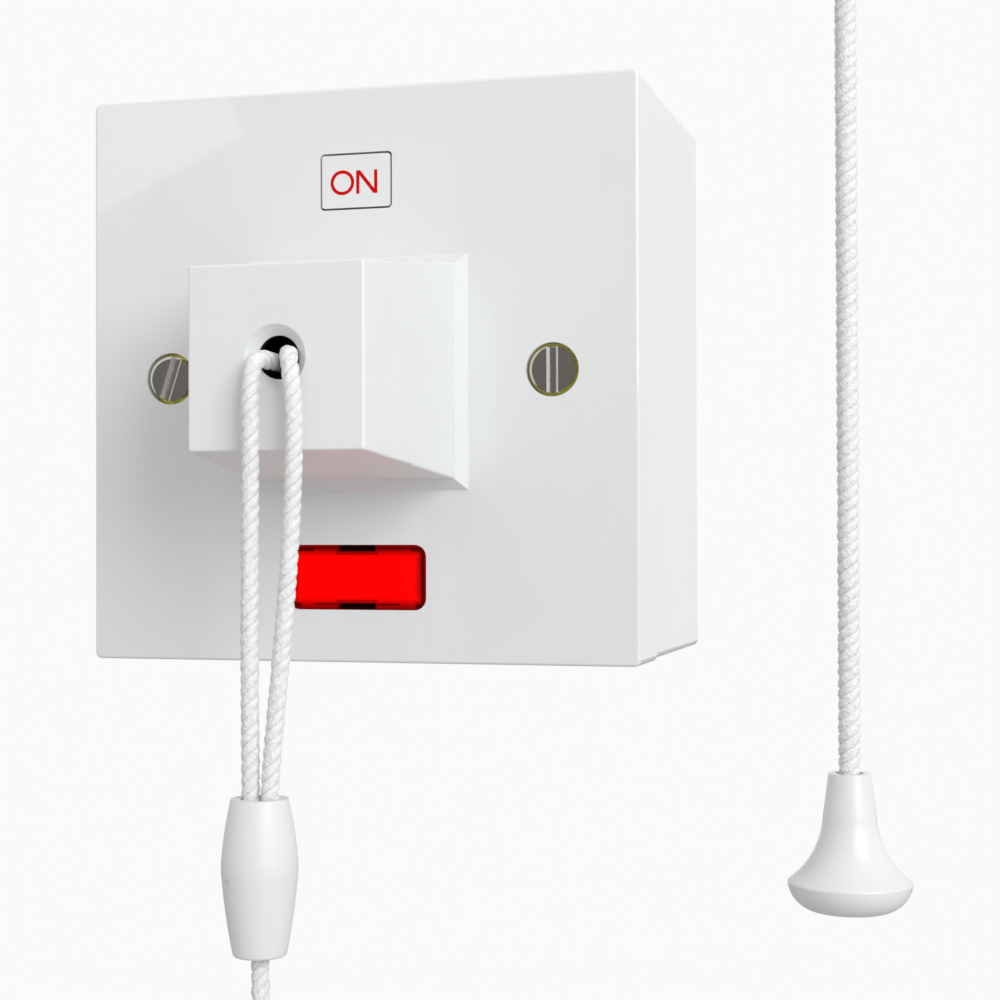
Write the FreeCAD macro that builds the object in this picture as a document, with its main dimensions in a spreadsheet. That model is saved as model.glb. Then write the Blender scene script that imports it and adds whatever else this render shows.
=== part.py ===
import FreeCAD, Part
import math
import os
import Sketcher

# Pull cord switch on a surface box: a square moulded plate with a hollow boss that the cord
# comes out of, an ON indicator above it, a neon lamp below it and the switch mechanism behind.
# Frame: the origin is the centre of the box's back face, on the wall. +Z is up and the plate
# faces -Y. "Depth" below means the distance in front of the wall. Lengths are millimetres.

Vector = FreeCAD.Vector
Placement = FreeCAD.Placement
Rotation = FreeCAD.Rotation
CLOSE = 0.01
doc = FreeCAD.newDocument("pull_cord_switch")

# Sizes, one cell each
SIZES = {
    # plate and its boss
    "plate_side": 86.0, "plate_depth": 12.5, "plate_wall": 2.2, "plate_front": 2.4,
    "plate_corner": 1.0, "plate_edge": 0.5,
    "boss_height": 32.0, "boss_front": 25.2, "boss_base": 31.7, "boss_foot": 34.9,
    "boss_flare": 1.66, "boss_edge": 0.4, "boss_cavity": 20.0, "boss_wall": 2.5,
    "mouth_radius": 2.95, "mouth_funnel": 1.45,
    # how far a cut starts outside the solid that it cuts
    "overcut": 1.0,
    # surface box
    "box_depth": 36.5, "box_inset": 0.25, "box_wall": 2.2, "box_back": 2.5,
    "fixing_spacing": 50.8, "fixing_radius": 2.25,
    "entry_radius": 9.0, "entry_height": 13.0,
    "pillar_radius": 4.0, "pillar_gap": 1.5, "web_thickness": 2.0,
    # fixing screws, their brass eyelets and inserts
    "screw_spacing": 60.3, "screw_radius": 1.75, "head_radius": 3.4, "head_thickness": 1.3,
    "slot_width": 0.85, "slot_depth": 0.8, "slot_bevel": 0.45, "left_slot_turn": 18.0,
    "recess_radius": 3.95, "recess_depth": 1.6,
    "eyelet_radius": 2.6, "eyelet_wall": 0.5, "eyelet_flange": 0.35, "eyelet_length": 3.5,
    "insert_radius": 2.9, "insert_length": 10.0, "screw_engagement": 7.0,
    # ON indicator
    "flag_width": 10.75, "flag_height": 7.9, "flag_gap": 0.3, "flag_clear": 2.45,
    "flag_corner": 0.4, "flag_thickness": 4.4, "flag_guide_wall": 1.2,
    "flag_stem_width": 5.0, "flag_stem_height": 3.0,
    # neon lamp
    "lens_width": 21.5, "lens_height": 9.5, "lens_clear": 3.35, "lens_corner": 1.7,
    "lens_fit": 0.1, "lens_wall": 1.4, "lens_depth": 5.0, "lens_flange": 1.2,
    "notch_width": 5.9, "notch_height": 0.9, "notch_depth": 0.8,
    "tray_wall": 1.0, "tray_depth": 8.0, "lamp_radius": 2.4, "lamp_length": 11.0,
    "electrode_radius": 0.45, "electrode_length": 6.0, "lead_radius": 0.3,
    "resistor_radius": 1.1, "resistor_length": 5.0, "lamp_shift": 2.5, "lead_gap": 1.0,
    # mechanism housing
    "housing_width": 44.0, "housing_height": 42.0, "housing_depth": 24.0, "housing_wall": 3.2,
    "cover_thickness": 3.0, "floor_thickness": 3.5, "cavity_wall": 6.5,
    "housing_corner": 2.0, "post_radius": 2.6, "housing_screw_radius": 1.3,
    "housing_screw_inset": 3.6, "housing_head_radius": 2.3, "housing_head_thickness": 1.6,
    # driver, its pin and its spring
    "pull_travel": 7.0, "stop_gap": 0.3, "flange_fit": 0.3, "flange_thickness": 3.0,
    "nose_radius": 4.2, "nose_length": 10.5, "nose_slot": 3.0, "eye_length": 9.5,
    "driver_pin_radius": 1.0, "driver_pin_setback": 2.4,
    "stem_width": 12.0, "stem_height": 7.6, "stem_fit": 0.3,
    "fork_slot": 6.8, "fork_depth": 8.0, "fork_gap": 0.5,
    "spring_radius": 6.0, "spring_wire": 0.55, "spring_turns": 6.0, "spring_clear": 0.3,
    # rocker and contacts
    "pivot_setback": 9.6, "pin_radius": 1.5, "running_fit": 0.05, "hub_radius": 3.8,
    "hub_width": 6.0, "cheek_thickness": 2.0, "cheek_gap": 0.7, "cheek_half_height": 4.0,
    "arm_thickness": 1.8, "arm_reach": 3.0, "arm_tip_radius": 1.5, "arm_width": 4.0,
    "fork_fit": 0.15, "leg_length": 13.0, "leg_thickness": 4.0,
    "bar_reach": 4.0, "bar_height": 4.0, "bar_thickness": 3.0,
    "pole_clear": 1.8, "bridge_width": 8.6, "bridge_height": 7.0, "bridge_thickness": 0.8,
    "tip_radius": 1.2, "tip_thickness": 0.8, "tip_offset": 2.9, "contact_gap": 0.05,
    "strip_width": 2.8, "strip_thickness": 0.8, "toggle_radius": 2.0, "toggle_wire": 0.35,
    "toggle_turns": 4.0,
    # terminals
    "terminal_width": 7.0, "terminal_height": 8.0, "terminal_length": 9.0,
    "wire_bore": 2.4, "wire_stop": 2.0, "terminal_screw_radius": 1.75, "terminal_screw_length": 5.0,
    "earth_offset": 31.0, "earth_seat": 2.0, "earth_clear": 0.1,
    # cord and what is on it
    "cord_diameter": 2.4, "ring_radius": 14.0, "bundle_radius": 4.9,
    "collar_length": 6.0, "coil_drop": 110.5, "tail_x": -0.8, "tail_depth": 84.5,
    "strand_spacing": 2.46,
    "bead_drop": 58.4, "bead_length": 20.6, "bead_top_radius": 3.8, "bead_waist_radius": 5.1,
    "bead_bottom_radius": 3.5, "bead_waist_drop": 9.0, "bead_mouth": 2.55, "bead_cavity": 2.9,
    "bead_cavity_length": 14.0, "knot_radius": 2.8, "bead_edge": 0.5,
    "bead_waist_round": 14.0,
    "bead_upper_bulge": 0.64, "bead_lower_bulge": 0.62,
    "bell_drop": 49.8, "bell_length": 14.9, "bell_neck_radius": 2.3, "bell_shoulder_radius": 2.9,
    "bell_shoulder_drop": 4.6, "bell_radius": 6.8, "bell_rim_drop": 11.8, "bell_rim": 0.3,
    "bell_bore": 1.5, "bell_cavity": 3.6, "bell_cavity_length": 6.0, "bell_knot_radius": 3.0,
    "bell_lip": 0.6, "bell_flare_out": 0.31, "bell_flare_down": 0.58,
    "bell_dome_out": 0.76, "bell_dome_down": 0.56,
}


class Size:
    """A size: its number, and the expression that keeps a feature tied to the sheet."""

    def __init__(self, value, text):
        self.value = value
        self.text = text

    def __add__(self, other):
        return join(self, "+", other, self.value + number(other))

    def __radd__(self, other):
        return join(other, "+", self, number(other) + self.value)

    def __sub__(self, other):
        return join(self, "-", other, self.value - number(other))

    def __rsub__(self, other):
        return join(other, "-", self, number(other) - self.value)

    def __mul__(self, other):
        return join(self, "*", other, self.value * number(other))

    def __rmul__(self, other):
        return join(other, "*", self, number(other) * self.value)

    def __truediv__(self, other):
        return join(self, "/", other, self.value / number(other))

    def __neg__(self):
        return Size(-self.value, "(0 - " + self.text + ")")


def number(term):
    return term.value if isinstance(term, Size) else float(term)


def text(term):
    return term.text if isinstance(term, Size) else repr(float(term))


def join(left, sign, right, value):
    return Size(value, "(" + text(left) + " " + sign + " " + text(right) + ")")


def root(term):
    return Size(math.sqrt(term.value), "sqrt(" + term.text + ")")


sheet = doc.addObject("Spreadsheet::Sheet", "sizes")
for row, (alias, value) in enumerate(SIZES.items(), start=1):
    sheet.set("A%d" % row, alias)
    sheet.set("B%d" % row, str(value))
    sheet.setAlias("B%d" % row, alias)
doc.recompute()


def size(alias):
    return Size(float(sheet.get(alias)), "sizes." + alias)


def bind(feature, **terms):
    for prop, term in terms.items():
        feature.setExpression(prop.replace("__", "."), text(term))


# Solids from primitives


def place(feature, x, y, z, turn=None):
    feature.Placement = Placement(Vector(number(x), number(y), number(z)), turn or Rotation())
    bind(feature, Placement__Base__x=x, Placement__Base__y=y, Placement__Base__z=z)
    return feature


def block(name, x, y, z):
    """A box between the low and high ends given along each axis."""
    feature = doc.addObject("Part::Box", name)
    bind(feature, Length=x[1] - x[0], Width=y[1] - y[0], Height=z[1] - z[0])
    return place(feature, x[0], y[0], z[0])


TURNS = {"x": Rotation(Vector(0, 1, 0), 90), "y": Rotation(Vector(1, 0, 0), -90), "z": Rotation()}


def rod(name, radius, start, axis, length):
    """A cylinder from start along +X, +Y or +Z."""
    feature = doc.addObject("Part::Cylinder", name)
    bind(feature, Radius=radius, Height=length)
    return place(feature, start[0], start[1], start[2], TURNS[axis])


def cut(name, base, tools):
    for index, tool in enumerate(tools):
        feature = doc.addObject("Part::Cut", name + "_cut%d" % index)
        feature.Base = base
        feature.Tool = tool
        base = feature
    return base


def fuse(name, pieces):
    feature = doc.addObject("Part::MultiFuse", name)
    feature.Shapes = pieces
    feature.Refine = True
    return feature


def group(name, pieces):
    feature = doc.addObject("Part::Compound", name)
    feature.Links = pieces
    return feature


def coil(name, radius, wire, low, high, turns):
    """A compression spring along Y, from depth low to depth high at its wire's outside."""
    helix = doc.addObject("Part::Helix", name + "_line")
    length = high - low - 2 * wire
    bind(helix, Pitch=length / turns, Height=length, Radius=radius)
    helix.Placement = Placement(Vector(), Rotation(Vector(1, 0, 0), 90))
    section = doc.addObject("Part::Circle", name + "_wire")
    bind(section, Radius=wire, Placement__Base__x=radius)
    section.Placement = Placement(Vector(number(radius), 0, 0), Rotation())
    sweep = doc.addObject("Part::Sweep", name)
    sweep.Sections = [section]
    sweep.Spine = (helix, [])
    sweep.Solid = True
    sweep.Frenet = True
    return place(sweep, 0, -(low + wire), 0)


# Bodies from sketches


def body(name):
    return doc.addObject("PartDesign::Body", name)


def plane(owner, role):
    return [part for part in owner.Origin.OriginFeatures if part.Role == role][0]


def sketch(owner, name, role, offset=0.0):
    """A sketch on one of the body's planes. On XZ_Plane the offset is a depth."""
    feature = owner.newObject("Sketcher::SketchObject", name)
    feature.AttachmentSupport = [(plane(owner, role), "")]
    feature.MapMode = "FlatFace"
    feature.AttachmentOffset = Placement(Vector(0, 0, number(offset)), Rotation())
    bind(feature, AttachmentOffset__Base__z=offset)
    return feature


def pin_point(drawing, index, end, u, v):
    """Ties one end of a line or arc to its distances from the sketch's origin."""
    for kind, term in (("DistanceX", u), ("DistanceY", v)):
        value = number(term)
        if value == 0:
            axis = -2 if kind == "DistanceX" else -1
            drawing.addConstraint(Sketcher.Constraint("PointOnObject", index, end, axis))
            continue
        place_in_list = drawing.addConstraint(
            Sketcher.Constraint(kind, -1, 1, index, end, value))
        label = "%s%d" % ("u" if kind == "DistanceX" else "v", place_in_list)
        drawing.renameConstraint(place_in_list, label)
        drawing.setExpression("Constraints." + label, text(term))


def outline(drawing, corners, bulges=None):
    """A closed outline through the corners. A bulge is the point that an arc passes through."""
    bulges = bulges or {}
    count = len(corners)
    first = drawing.GeometryCount
    ends = []
    for index, corner in enumerate(corners):
        following = corners[(index + 1) % count]
        start = Vector(number(corner[0]), number(corner[1]), 0)
        end = Vector(number(following[0]), number(following[1]), 0)
        if index not in bulges:
            drawing.addGeometry(Part.LineSegment(start, end))
            ends.append((1, 2))
            continue
        middle = Vector(number(bulges[index][0]), number(bulges[index][1]), 0)
        # a sketch holds each arc counter-clockwise
        if (middle - start).cross(end - middle).z > 0:
            drawing.addGeometry(Part.Arc(start, middle, end))
            ends.append((1, 2))
        else:
            drawing.addGeometry(Part.Arc(end, middle, start))
            ends.append((2, 1))
    for index in range(count):
        following = (index + 1) % count
        drawing.addConstraint(Sketcher.Constraint(
            "Coincident", first + index, ends[index][1], first + following, ends[following][0]))
    for index, corner in enumerate(corners):
        pin_point(drawing, first + index, ends[index][0], corner[0], corner[1])
    for index in bulges:
        middle = drawing.addGeometry(Part.Point(Vector(
            number(bulges[index][0]), number(bulges[index][1]), 0)), True)
        drawing.addConstraint(Sketcher.Constraint("PointOnObject", middle, 1, first + index))
        pin_point(drawing, middle, 1, bulges[index][0], bulges[index][1])


def rectangle(drawing, u, v):
    outline(drawing, [(u[0], v[0]), (u[1], v[0]), (u[1], v[1]), (u[0], v[1])])


def circle(drawing, u, v, radius):
    index = drawing.addGeometry(Part.Circle(Vector(number(u), number(v), 0), Vector(0, 0, 1),
                                            number(radius)))
    pin_point(drawing, index, 3, u, v)
    place_in_list = drawing.addConstraint(Sketcher.Constraint("Radius", index, number(radius)))
    drawing.renameConstraint(place_in_list, "radius%d" % place_in_list)
    drawing.setExpression("Constraints.radius%d" % place_in_list, text(radius))


def pad(owner, drawing, length, towards_wall=False):
    feature = owner.newObject("PartDesign::Pad", drawing.Name + "_pad")
    feature.Profile = drawing
    feature.Reversed = towards_wall
    bind(feature, Length=length)
    return feature


def pocket(owner, drawing, length, towards_front=False):
    """Cuts from the sketch towards the wall, or towards the front."""
    before = owner.Shape.Volume
    feature = owner.newObject("PartDesign::Pocket", drawing.Name + "_pocket")
    feature.Profile = drawing
    feature.Reversed = towards_front
    bind(feature, Length=length)
    doc.recompute()
    if owner.Shape.Volume > before - CLOSE:
        raise RuntimeError(drawing.Name + " cuts nothing")
    return feature


def turned(owner, drawing):
    """A solid of revolution about the sketch's vertical axis."""
    feature = owner.newObject("PartDesign::Revolution", drawing.Name + "_turned")
    feature.Profile = drawing
    feature.ReferenceAxis = (drawing, ["V_Axis"])
    feature.Angle = 360.0
    return feature


def edges(feature, wanted):
    """The names of the edges whose middle the test wants."""
    names = []
    for index, edge in enumerate(feature.Shape.Edges, start=1):
        middle = edge.valueAt((edge.FirstParameter + edge.LastParameter) / 2)
        if wanted(edge, middle):
            names.append("Edge%d" % index)
    return names


def along_depth(edge):
    ends = [vertex.Point for vertex in edge.Vertexes]
    return len(ends) == 2 and abs(ends[0].x - ends[1].x) + abs(ends[0].z - ends[1].z) < CLOSE


def broken_edges(owner, name, kind, wanted, **terms):
    doc.recompute()
    base = owner.Tip
    names = edges(base, wanted)
    if not names:
        raise RuntimeError(name + " finds no edge")
    feature = owner.newObject(kind, name)
    feature.Base = (base, names)
    bind(feature, **terms)
    doc.recompute()
    return feature


def rounded(owner, name, radius, wanted):
    return broken_edges(owner, name, "PartDesign::Fillet", wanted, Radius=radius)


def bevelled(owner, name, width, wanted):
    return broken_edges(owner, name, "PartDesign::Chamfer", wanted, Size=width)


def near(a, b):
    return abs(a - number(b)) < 2 * CLOSE


nodes = []


def node(name, feature):
    """Names a finished sub-part. Its file takes the same name."""
    feature.Label = name
    nodes.append((name, feature))
    return feature


# Depths and half sizes that several pieces share
box_front = size("box_depth")
plate_face = size("box_depth") + size("plate_depth")
plate_inside = plate_face - size("plate_front")
boss_face = plate_face + size("boss_height")
boss_inside = boss_face - size("boss_wall")
half_plate = size("plate_side") / 2
half_box = half_plate - size("box_inset")
screw_x = size("screw_spacing") / 2
recess_floor = plate_face - size("recess_depth")
cover_front = plate_inside
cover_back = cover_front - size("cover_thickness")
housing_back = cover_back - size("housing_depth")
housing_floor = housing_back + size("floor_thickness")
half_housing_x = size("housing_width") / 2
half_housing_z = size("housing_height") / 2
half_cavity_x = half_housing_x - size("cavity_wall")
half_cavity_z = half_housing_z - size("housing_wall")
housing_screw_x = half_housing_x - size("housing_screw_inset")
housing_screw_z = half_housing_z - size("housing_screw_inset")
pivot = cover_back - size("pivot_setback")
arm_length = half_housing_z + size("arm_reach")
flag_rise = (half_housing_z + size("flag_clear") + size("flag_guide_wall") + size("flag_gap")
             + size("flag_height") / 2)
lens_drop = (half_housing_z + size("lens_clear") + size("lens_flange")
             + size("lens_height") / 2)
pole_offset = (half_housing_x - size("housing_wall") - size("terminal_width")
               - size("pole_clear"))
BOTH = (-1, 1)


# Front plate: the square rim, the boss lofted from its flared foot, and the hollows behind
def front_plate():
    plate = body("front_plate_body")
    rim = sketch(plate, "plate_rim", "XZ_Plane", box_front)
    rectangle(rim, (-half_plate, half_plate), (-half_plate, half_plate))
    pad(plate, rim, size("plate_depth"))
    rounded(plate, "plate_corners", size("plate_corner"), lambda edge, middle: along_depth(edge))
    rounded(plate, "plate_front_edge", size("plate_edge"),
            lambda edge, middle: near(middle.y, -plate_face))
    sections = []
    for name, side, depth in (("boss_foot", size("boss_foot"), plate_face),
                              ("boss_base", size("boss_base"), plate_face + size("boss_flare")),
                              ("boss_top", size("boss_front"), boss_face)):
        section = sketch(plate, name + "_section", "XZ_Plane", depth)
        rectangle(section, (-side / 2, side / 2), (-side / 2, side / 2))
        sections.append(section)
    boss = plate.newObject("PartDesign::AdditiveLoft", "boss")
    boss.Profile = sections[0]
    boss.Sections = sections[1:]
    boss.Ruled = True
    inner = sketch(plate, "plate_hollow", "XZ_Plane", box_front)
    half_inner = half_plate - size("plate_wall")
    rectangle(inner, (-half_inner, half_inner), (-half_inner, half_inner))
    doc.recompute()
    pocket(plate, inner, size("plate_depth") - size("plate_front"), True)
    hollow = sketch(plate, "boss_hollow", "XZ_Plane", box_front)
    half_cavity = size("boss_cavity") / 2
    rectangle(hollow, (-half_cavity, half_cavity), (-half_cavity, half_cavity))
    pocket(plate, hollow, boss_inside - box_front, True)
    half_top = size("boss_front") / 2

    def on_boss(edge, middle):
        if -middle.y < number(plate_face + size("boss_flare")) - CLOSE:
            return False
        reach = max(abs(middle.x), abs(middle.z))
        return reach > number(half_top) - CLOSE

    rounded(plate, "boss_edges", size("boss_edge"),
            lambda edge, middle: on_boss(edge, middle) and not near(
                -middle.y, plate_face + size("boss_flare")))
    mouth = sketch(plate, "mouth", "XZ_Plane", boss_face)
    circle(mouth, 0, 0, size("mouth_radius"))
    pocket(plate, mouth, size("boss_wall") + size("overcut"))
    bevelled(plate, "mouth_cone", size("mouth_funnel"),
             lambda edge, middle: near(-middle.y, boss_face)
             and near(math.hypot(middle.x, middle.z), size("mouth_radius")))
    # the guide of the indicator is a short sleeve behind its window
    opening_x = size("flag_width") / 2 + size("flag_gap")
    opening_z = size("flag_height") / 2 + size("flag_gap")
    sleeve = sketch(plate, "flag_sleeve", "XZ_Plane", plate_inside)
    wall = size("flag_guide_wall")
    rectangle(sleeve, (-(opening_x + wall), opening_x + wall),
              (flag_rise - opening_z - wall, flag_rise + opening_z + wall))
    pad(plate, sleeve, size("flag_thickness"), True)
    window = sketch(plate, "flag_window", "XZ_Plane", plate_face)
    rectangle(window, (-opening_x, opening_x),
              (flag_rise - opening_z, flag_rise + opening_z))
    doc.recompute()
    pocket(plate, window, size("plate_front") + size("flag_thickness") + size("overcut"))
    rounded(plate, "flag_window_corners", size("flag_corner") + size("flag_gap"),
            lambda edge, middle: along_depth(edge) and near(abs(middle.x), opening_x)
            and near(abs(middle.z - number(flag_rise)), opening_z))
    half_stem = size("flag_stem_width") / 2 + size("flag_gap")
    stem_way = sketch(plate, "flag_stem_way", "XZ_Plane", plate_inside)
    rectangle(stem_way, (-half_stem, half_stem),
              (flag_rise - opening_z - wall - size("flag_gap"),
               flag_rise - opening_z + size("flag_gap")))
    pocket(plate, stem_way, size("flag_thickness"))
    lens_x = size("lens_width") / 2 + size("lens_fit")
    lens_z = size("lens_height") / 2 + size("lens_fit")
    neon = sketch(plate, "neon_window", "XZ_Plane", plate_face)
    rectangle(neon, (-lens_x, lens_x),
              (-lens_drop - lens_z, -lens_drop + lens_z))
    pocket(plate, neon, size("plate_front") + size("overcut"))
    rounded(plate, "neon_window_corners", size("lens_corner") + size("lens_fit"),
            lambda edge, middle: along_depth(edge) and near(abs(middle.x), lens_x)
            and near(abs(middle.z + number(lens_drop)), lens_z))
    recesses = sketch(plate, "screw_recesses", "XZ_Plane", plate_face)
    holes = sketch(plate, "screw_holes", "XZ_Plane", plate_face)
    for side in BOTH:
        circle(recesses, side * screw_x, 0, size("recess_radius"))
        circle(holes, side * screw_x, 0, size("eyelet_radius") + size("running_fit"))
    pocket(plate, recesses, size("recess_depth"))
    pocket(plate, holes, size("plate_front") + size("overcut"))
    posts = sketch(plate, "screw_posts", "XZ_Plane", plate_inside)
    for x_side in BOTH:
        for z_side in BOTH:
            circle(posts, x_side * housing_screw_x, z_side * housing_screw_z, size("post_radius"))
    post_length = plate_inside - cover_back
    pad(plate, posts, post_length, True)
    bores = sketch(plate, "post_bores", "XZ_Plane", cover_back)
    for x_side in BOTH:
        for z_side in BOTH:
            circle(bores, x_side * housing_screw_x, z_side * housing_screw_z,
                   size("housing_screw_radius"))
    doc.recompute()
    pocket(plate, bores, post_length, True)
    node("front_plate", plate)


# Surface box: five walls, two screw pillars with webs, two fixing holes and the cable entry
def pattress_box():
    box = body("pattress_box_body")
    outer = sketch(box, "box_outer", "XZ_Plane", 0)
    rectangle(outer, (-half_box, half_box), (-half_box, half_box))
    pad(box, outer, size("box_depth"))
    rounded(box, "box_corners", size("plate_corner"), lambda edge, middle: along_depth(edge))
    inner = sketch(box, "box_hollow", "XZ_Plane", size("box_back"))
    half_inner = half_box - size("box_wall")
    rectangle(inner, (-half_inner, half_inner), (-half_inner, half_inner))
    pocket(box, inner, size("box_depth") - size("box_back"), True)
    pillar_length = size("box_depth") - size("box_back") - size("pillar_gap")
    pillars = sketch(box, "pillars", "XZ_Plane", size("box_back"))
    for side in BOTH:
        circle(pillars, side * screw_x, 0, size("pillar_radius"))
    pad(box, pillars, pillar_length)
    webs = sketch(box, "webs", "XZ_Plane", size("box_back"))
    half_web = size("web_thickness") / 2
    for side in BOTH:
        rectangle(webs, (side * (screw_x + size("pillar_radius") / 2), side * half_inner),
                  (-half_web, half_web))
    pad(box, webs, pillar_length)
    seats = sketch(box, "insert_seats", "XZ_Plane", size("box_back") + pillar_length)
    for side in BOTH:
        circle(seats, side * screw_x, 0, size("insert_radius"))
    doc.recompute()
    pocket(box, seats, size("insert_length"))
    fixings = sketch(box, "fixing_holes", "XZ_Plane", size("box_back"))
    for side in BOTH:
        circle(fixings, 0, side * size("fixing_spacing") / 2, size("fixing_radius"))
    circle(fixings, 0, size("entry_height"), size("entry_radius"))
    pocket(box, fixings, size("box_back"))
    # the earth terminal stands in a shallow moulded seat
    seat = sketch(box, "earth_seat", "XZ_Plane", size("box_back"))
    half_terminal = size("terminal_width") / 2
    offset = size("earth_offset")
    rectangle(seat, (offset - half_terminal - size("web_thickness"),
                     offset + half_terminal + size("web_thickness")),
              (-offset - half_terminal - size("web_thickness"),
               -offset + half_terminal + size("web_thickness")))
    pad(box, seat, size("earth_seat"))
    well = sketch(box, "earth_well", "XZ_Plane", size("box_back") + size("earth_seat"))
    rectangle(well, (offset - half_terminal, offset + half_terminal),
              (-offset - half_terminal, -offset + half_terminal))
    doc.recompute()
    pocket(box, well, size("earth_seat"))
    node("pattress_box", box)


# Slotted screws, with the eyelets in the plate and the threaded inserts in the box
def fixings():
    head_back = recess_floor + size("eyelet_flange")
    head_front = head_back + size("head_thickness")
    pillar_front = box_front - size("pillar_gap")
    insert_back = pillar_front - size("insert_length")
    screw_end = pillar_front - size("screw_engagement")
    screws = []
    eyelets = []
    inserts = []
    for side, label, turn in ((-1, "left", size("left_slot_turn")), (1, "right", 0.0)):
        centre = side * screw_x
        head = rod(label + "_head", size("head_radius"), (0, -head_front, 0), "y",
                   size("head_thickness"))
        shank = rod(label + "_shank", size("screw_radius"), (0, -head_back, 0), "y",
                    head_back - screw_end)
        half_slot = size("slot_width") / 2
        reach = size("head_radius") + size("slot_bevel")
        slot = block(label + "_slot", (-half_slot, half_slot),
                     (-head_front - size("slot_bevel"), -head_front + size("slot_depth")),
                     (-reach, reach))
        bevel = doc.addObject("Part::Wedge", label + "_bevel")
        wide = half_slot + size("slot_bevel")
        bind(bevel, Xmin=-wide, Xmax=wide, Ymin=0, Ymax=size("slot_bevel"), Zmin=-reach,
             Zmax=reach, X2min=-half_slot, X2max=half_slot, Z2min=-reach, Z2max=reach)
        place(bevel, 0, -head_front, 0)
        screw = cut(label + "_screw", fuse(label + "_blank", [head, shank]), [slot, bevel])
        place(screw, centre, 0, 0, Rotation(Vector(0, 1, 0), number(turn)))
        screws.append(screw)
        tube = rod(label + "_tube", size("eyelet_radius"), (centre, -recess_floor, 0), "y",
                   size("eyelet_length"))
        flange = rod(label + "_flange", size("recess_radius") - size("running_fit"),
                     (centre, -head_back, 0), "y", size("eyelet_flange"))
        eyelet_bore = rod(label + "_eyelet_bore", size("eyelet_radius") - size("eyelet_wall"),
                          (centre, -head_back - size("overcut"), 0), "y",
                          size("eyelet_length") + 2 * size("overcut"))
        eyelets.append(cut(label + "_eyelet", fuse(label + "_eyelet_blank", [tube, flange]),
                           [eyelet_bore]))
        sleeve = rod(label + "_sleeve", size("insert_radius") - size("running_fit"),
                     (centre, -pillar_front, 0), "y", pillar_front - insert_back)
        thread = rod(label + "_thread", size("screw_radius") + size("running_fit"),
                     (centre, -pillar_front - size("overcut"), 0), "y",
                     size("insert_length") + 2 * size("overcut"))
        inserts.append(cut(label + "_insert", sleeve, [thread]))
    node("fixing_screws", group("fixing_screws_group", screws))
    node("screw_eyelets", group("screw_eyelets_group", eyelets))
    node("box_inserts", group("box_inserts_group", inserts))


# ON indicator: a tile flush with the plate, on a stem that the rocker's upper arm moves
def on_indicator():
    flag = body("on_indicator_body")
    half_x = size("flag_width") / 2
    half_z = size("flag_height") / 2
    tile = sketch(flag, "tile", "XZ_Plane", plate_face - size("flag_thickness"))
    rectangle(tile, (-half_x, half_x), (flag_rise - half_z, flag_rise + half_z))
    pad(flag, tile, size("flag_thickness"))
    rounded(flag, "tile_corners", size("flag_corner"), lambda edge, middle: along_depth(edge))
    tip = arm_length
    reach = size("arm_tip_radius") + size("fork_fit")
    stem = sketch(flag, "stem", "XZ_Plane", pivot - reach - size("arm_thickness"))
    half_stem = size("flag_stem_width") / 2
    stem_low = half_housing_z + size("flag_gap")
    rectangle(stem, (-half_stem, half_stem), (stem_low, tip + reach + size("flag_stem_height")))
    stem_length = plate_face - size("flag_thickness") - (pivot - reach - size("arm_thickness"))
    pad(flag, stem, stem_length)
    doc.recompute()
    notch = sketch(flag, "notch", "YZ_Plane", -half_stem)
    rectangle(notch, (-pivot - reach, -pivot + reach), (stem_low - size("overcut"), tip + reach))
    through = flag.newObject("PartDesign::Pocket", "notch_pocket")
    through.Profile = notch
    through.Reversed = True
    bind(through, Length=size("flag_stem_width"))
    node("on_indicator", flag)


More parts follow.
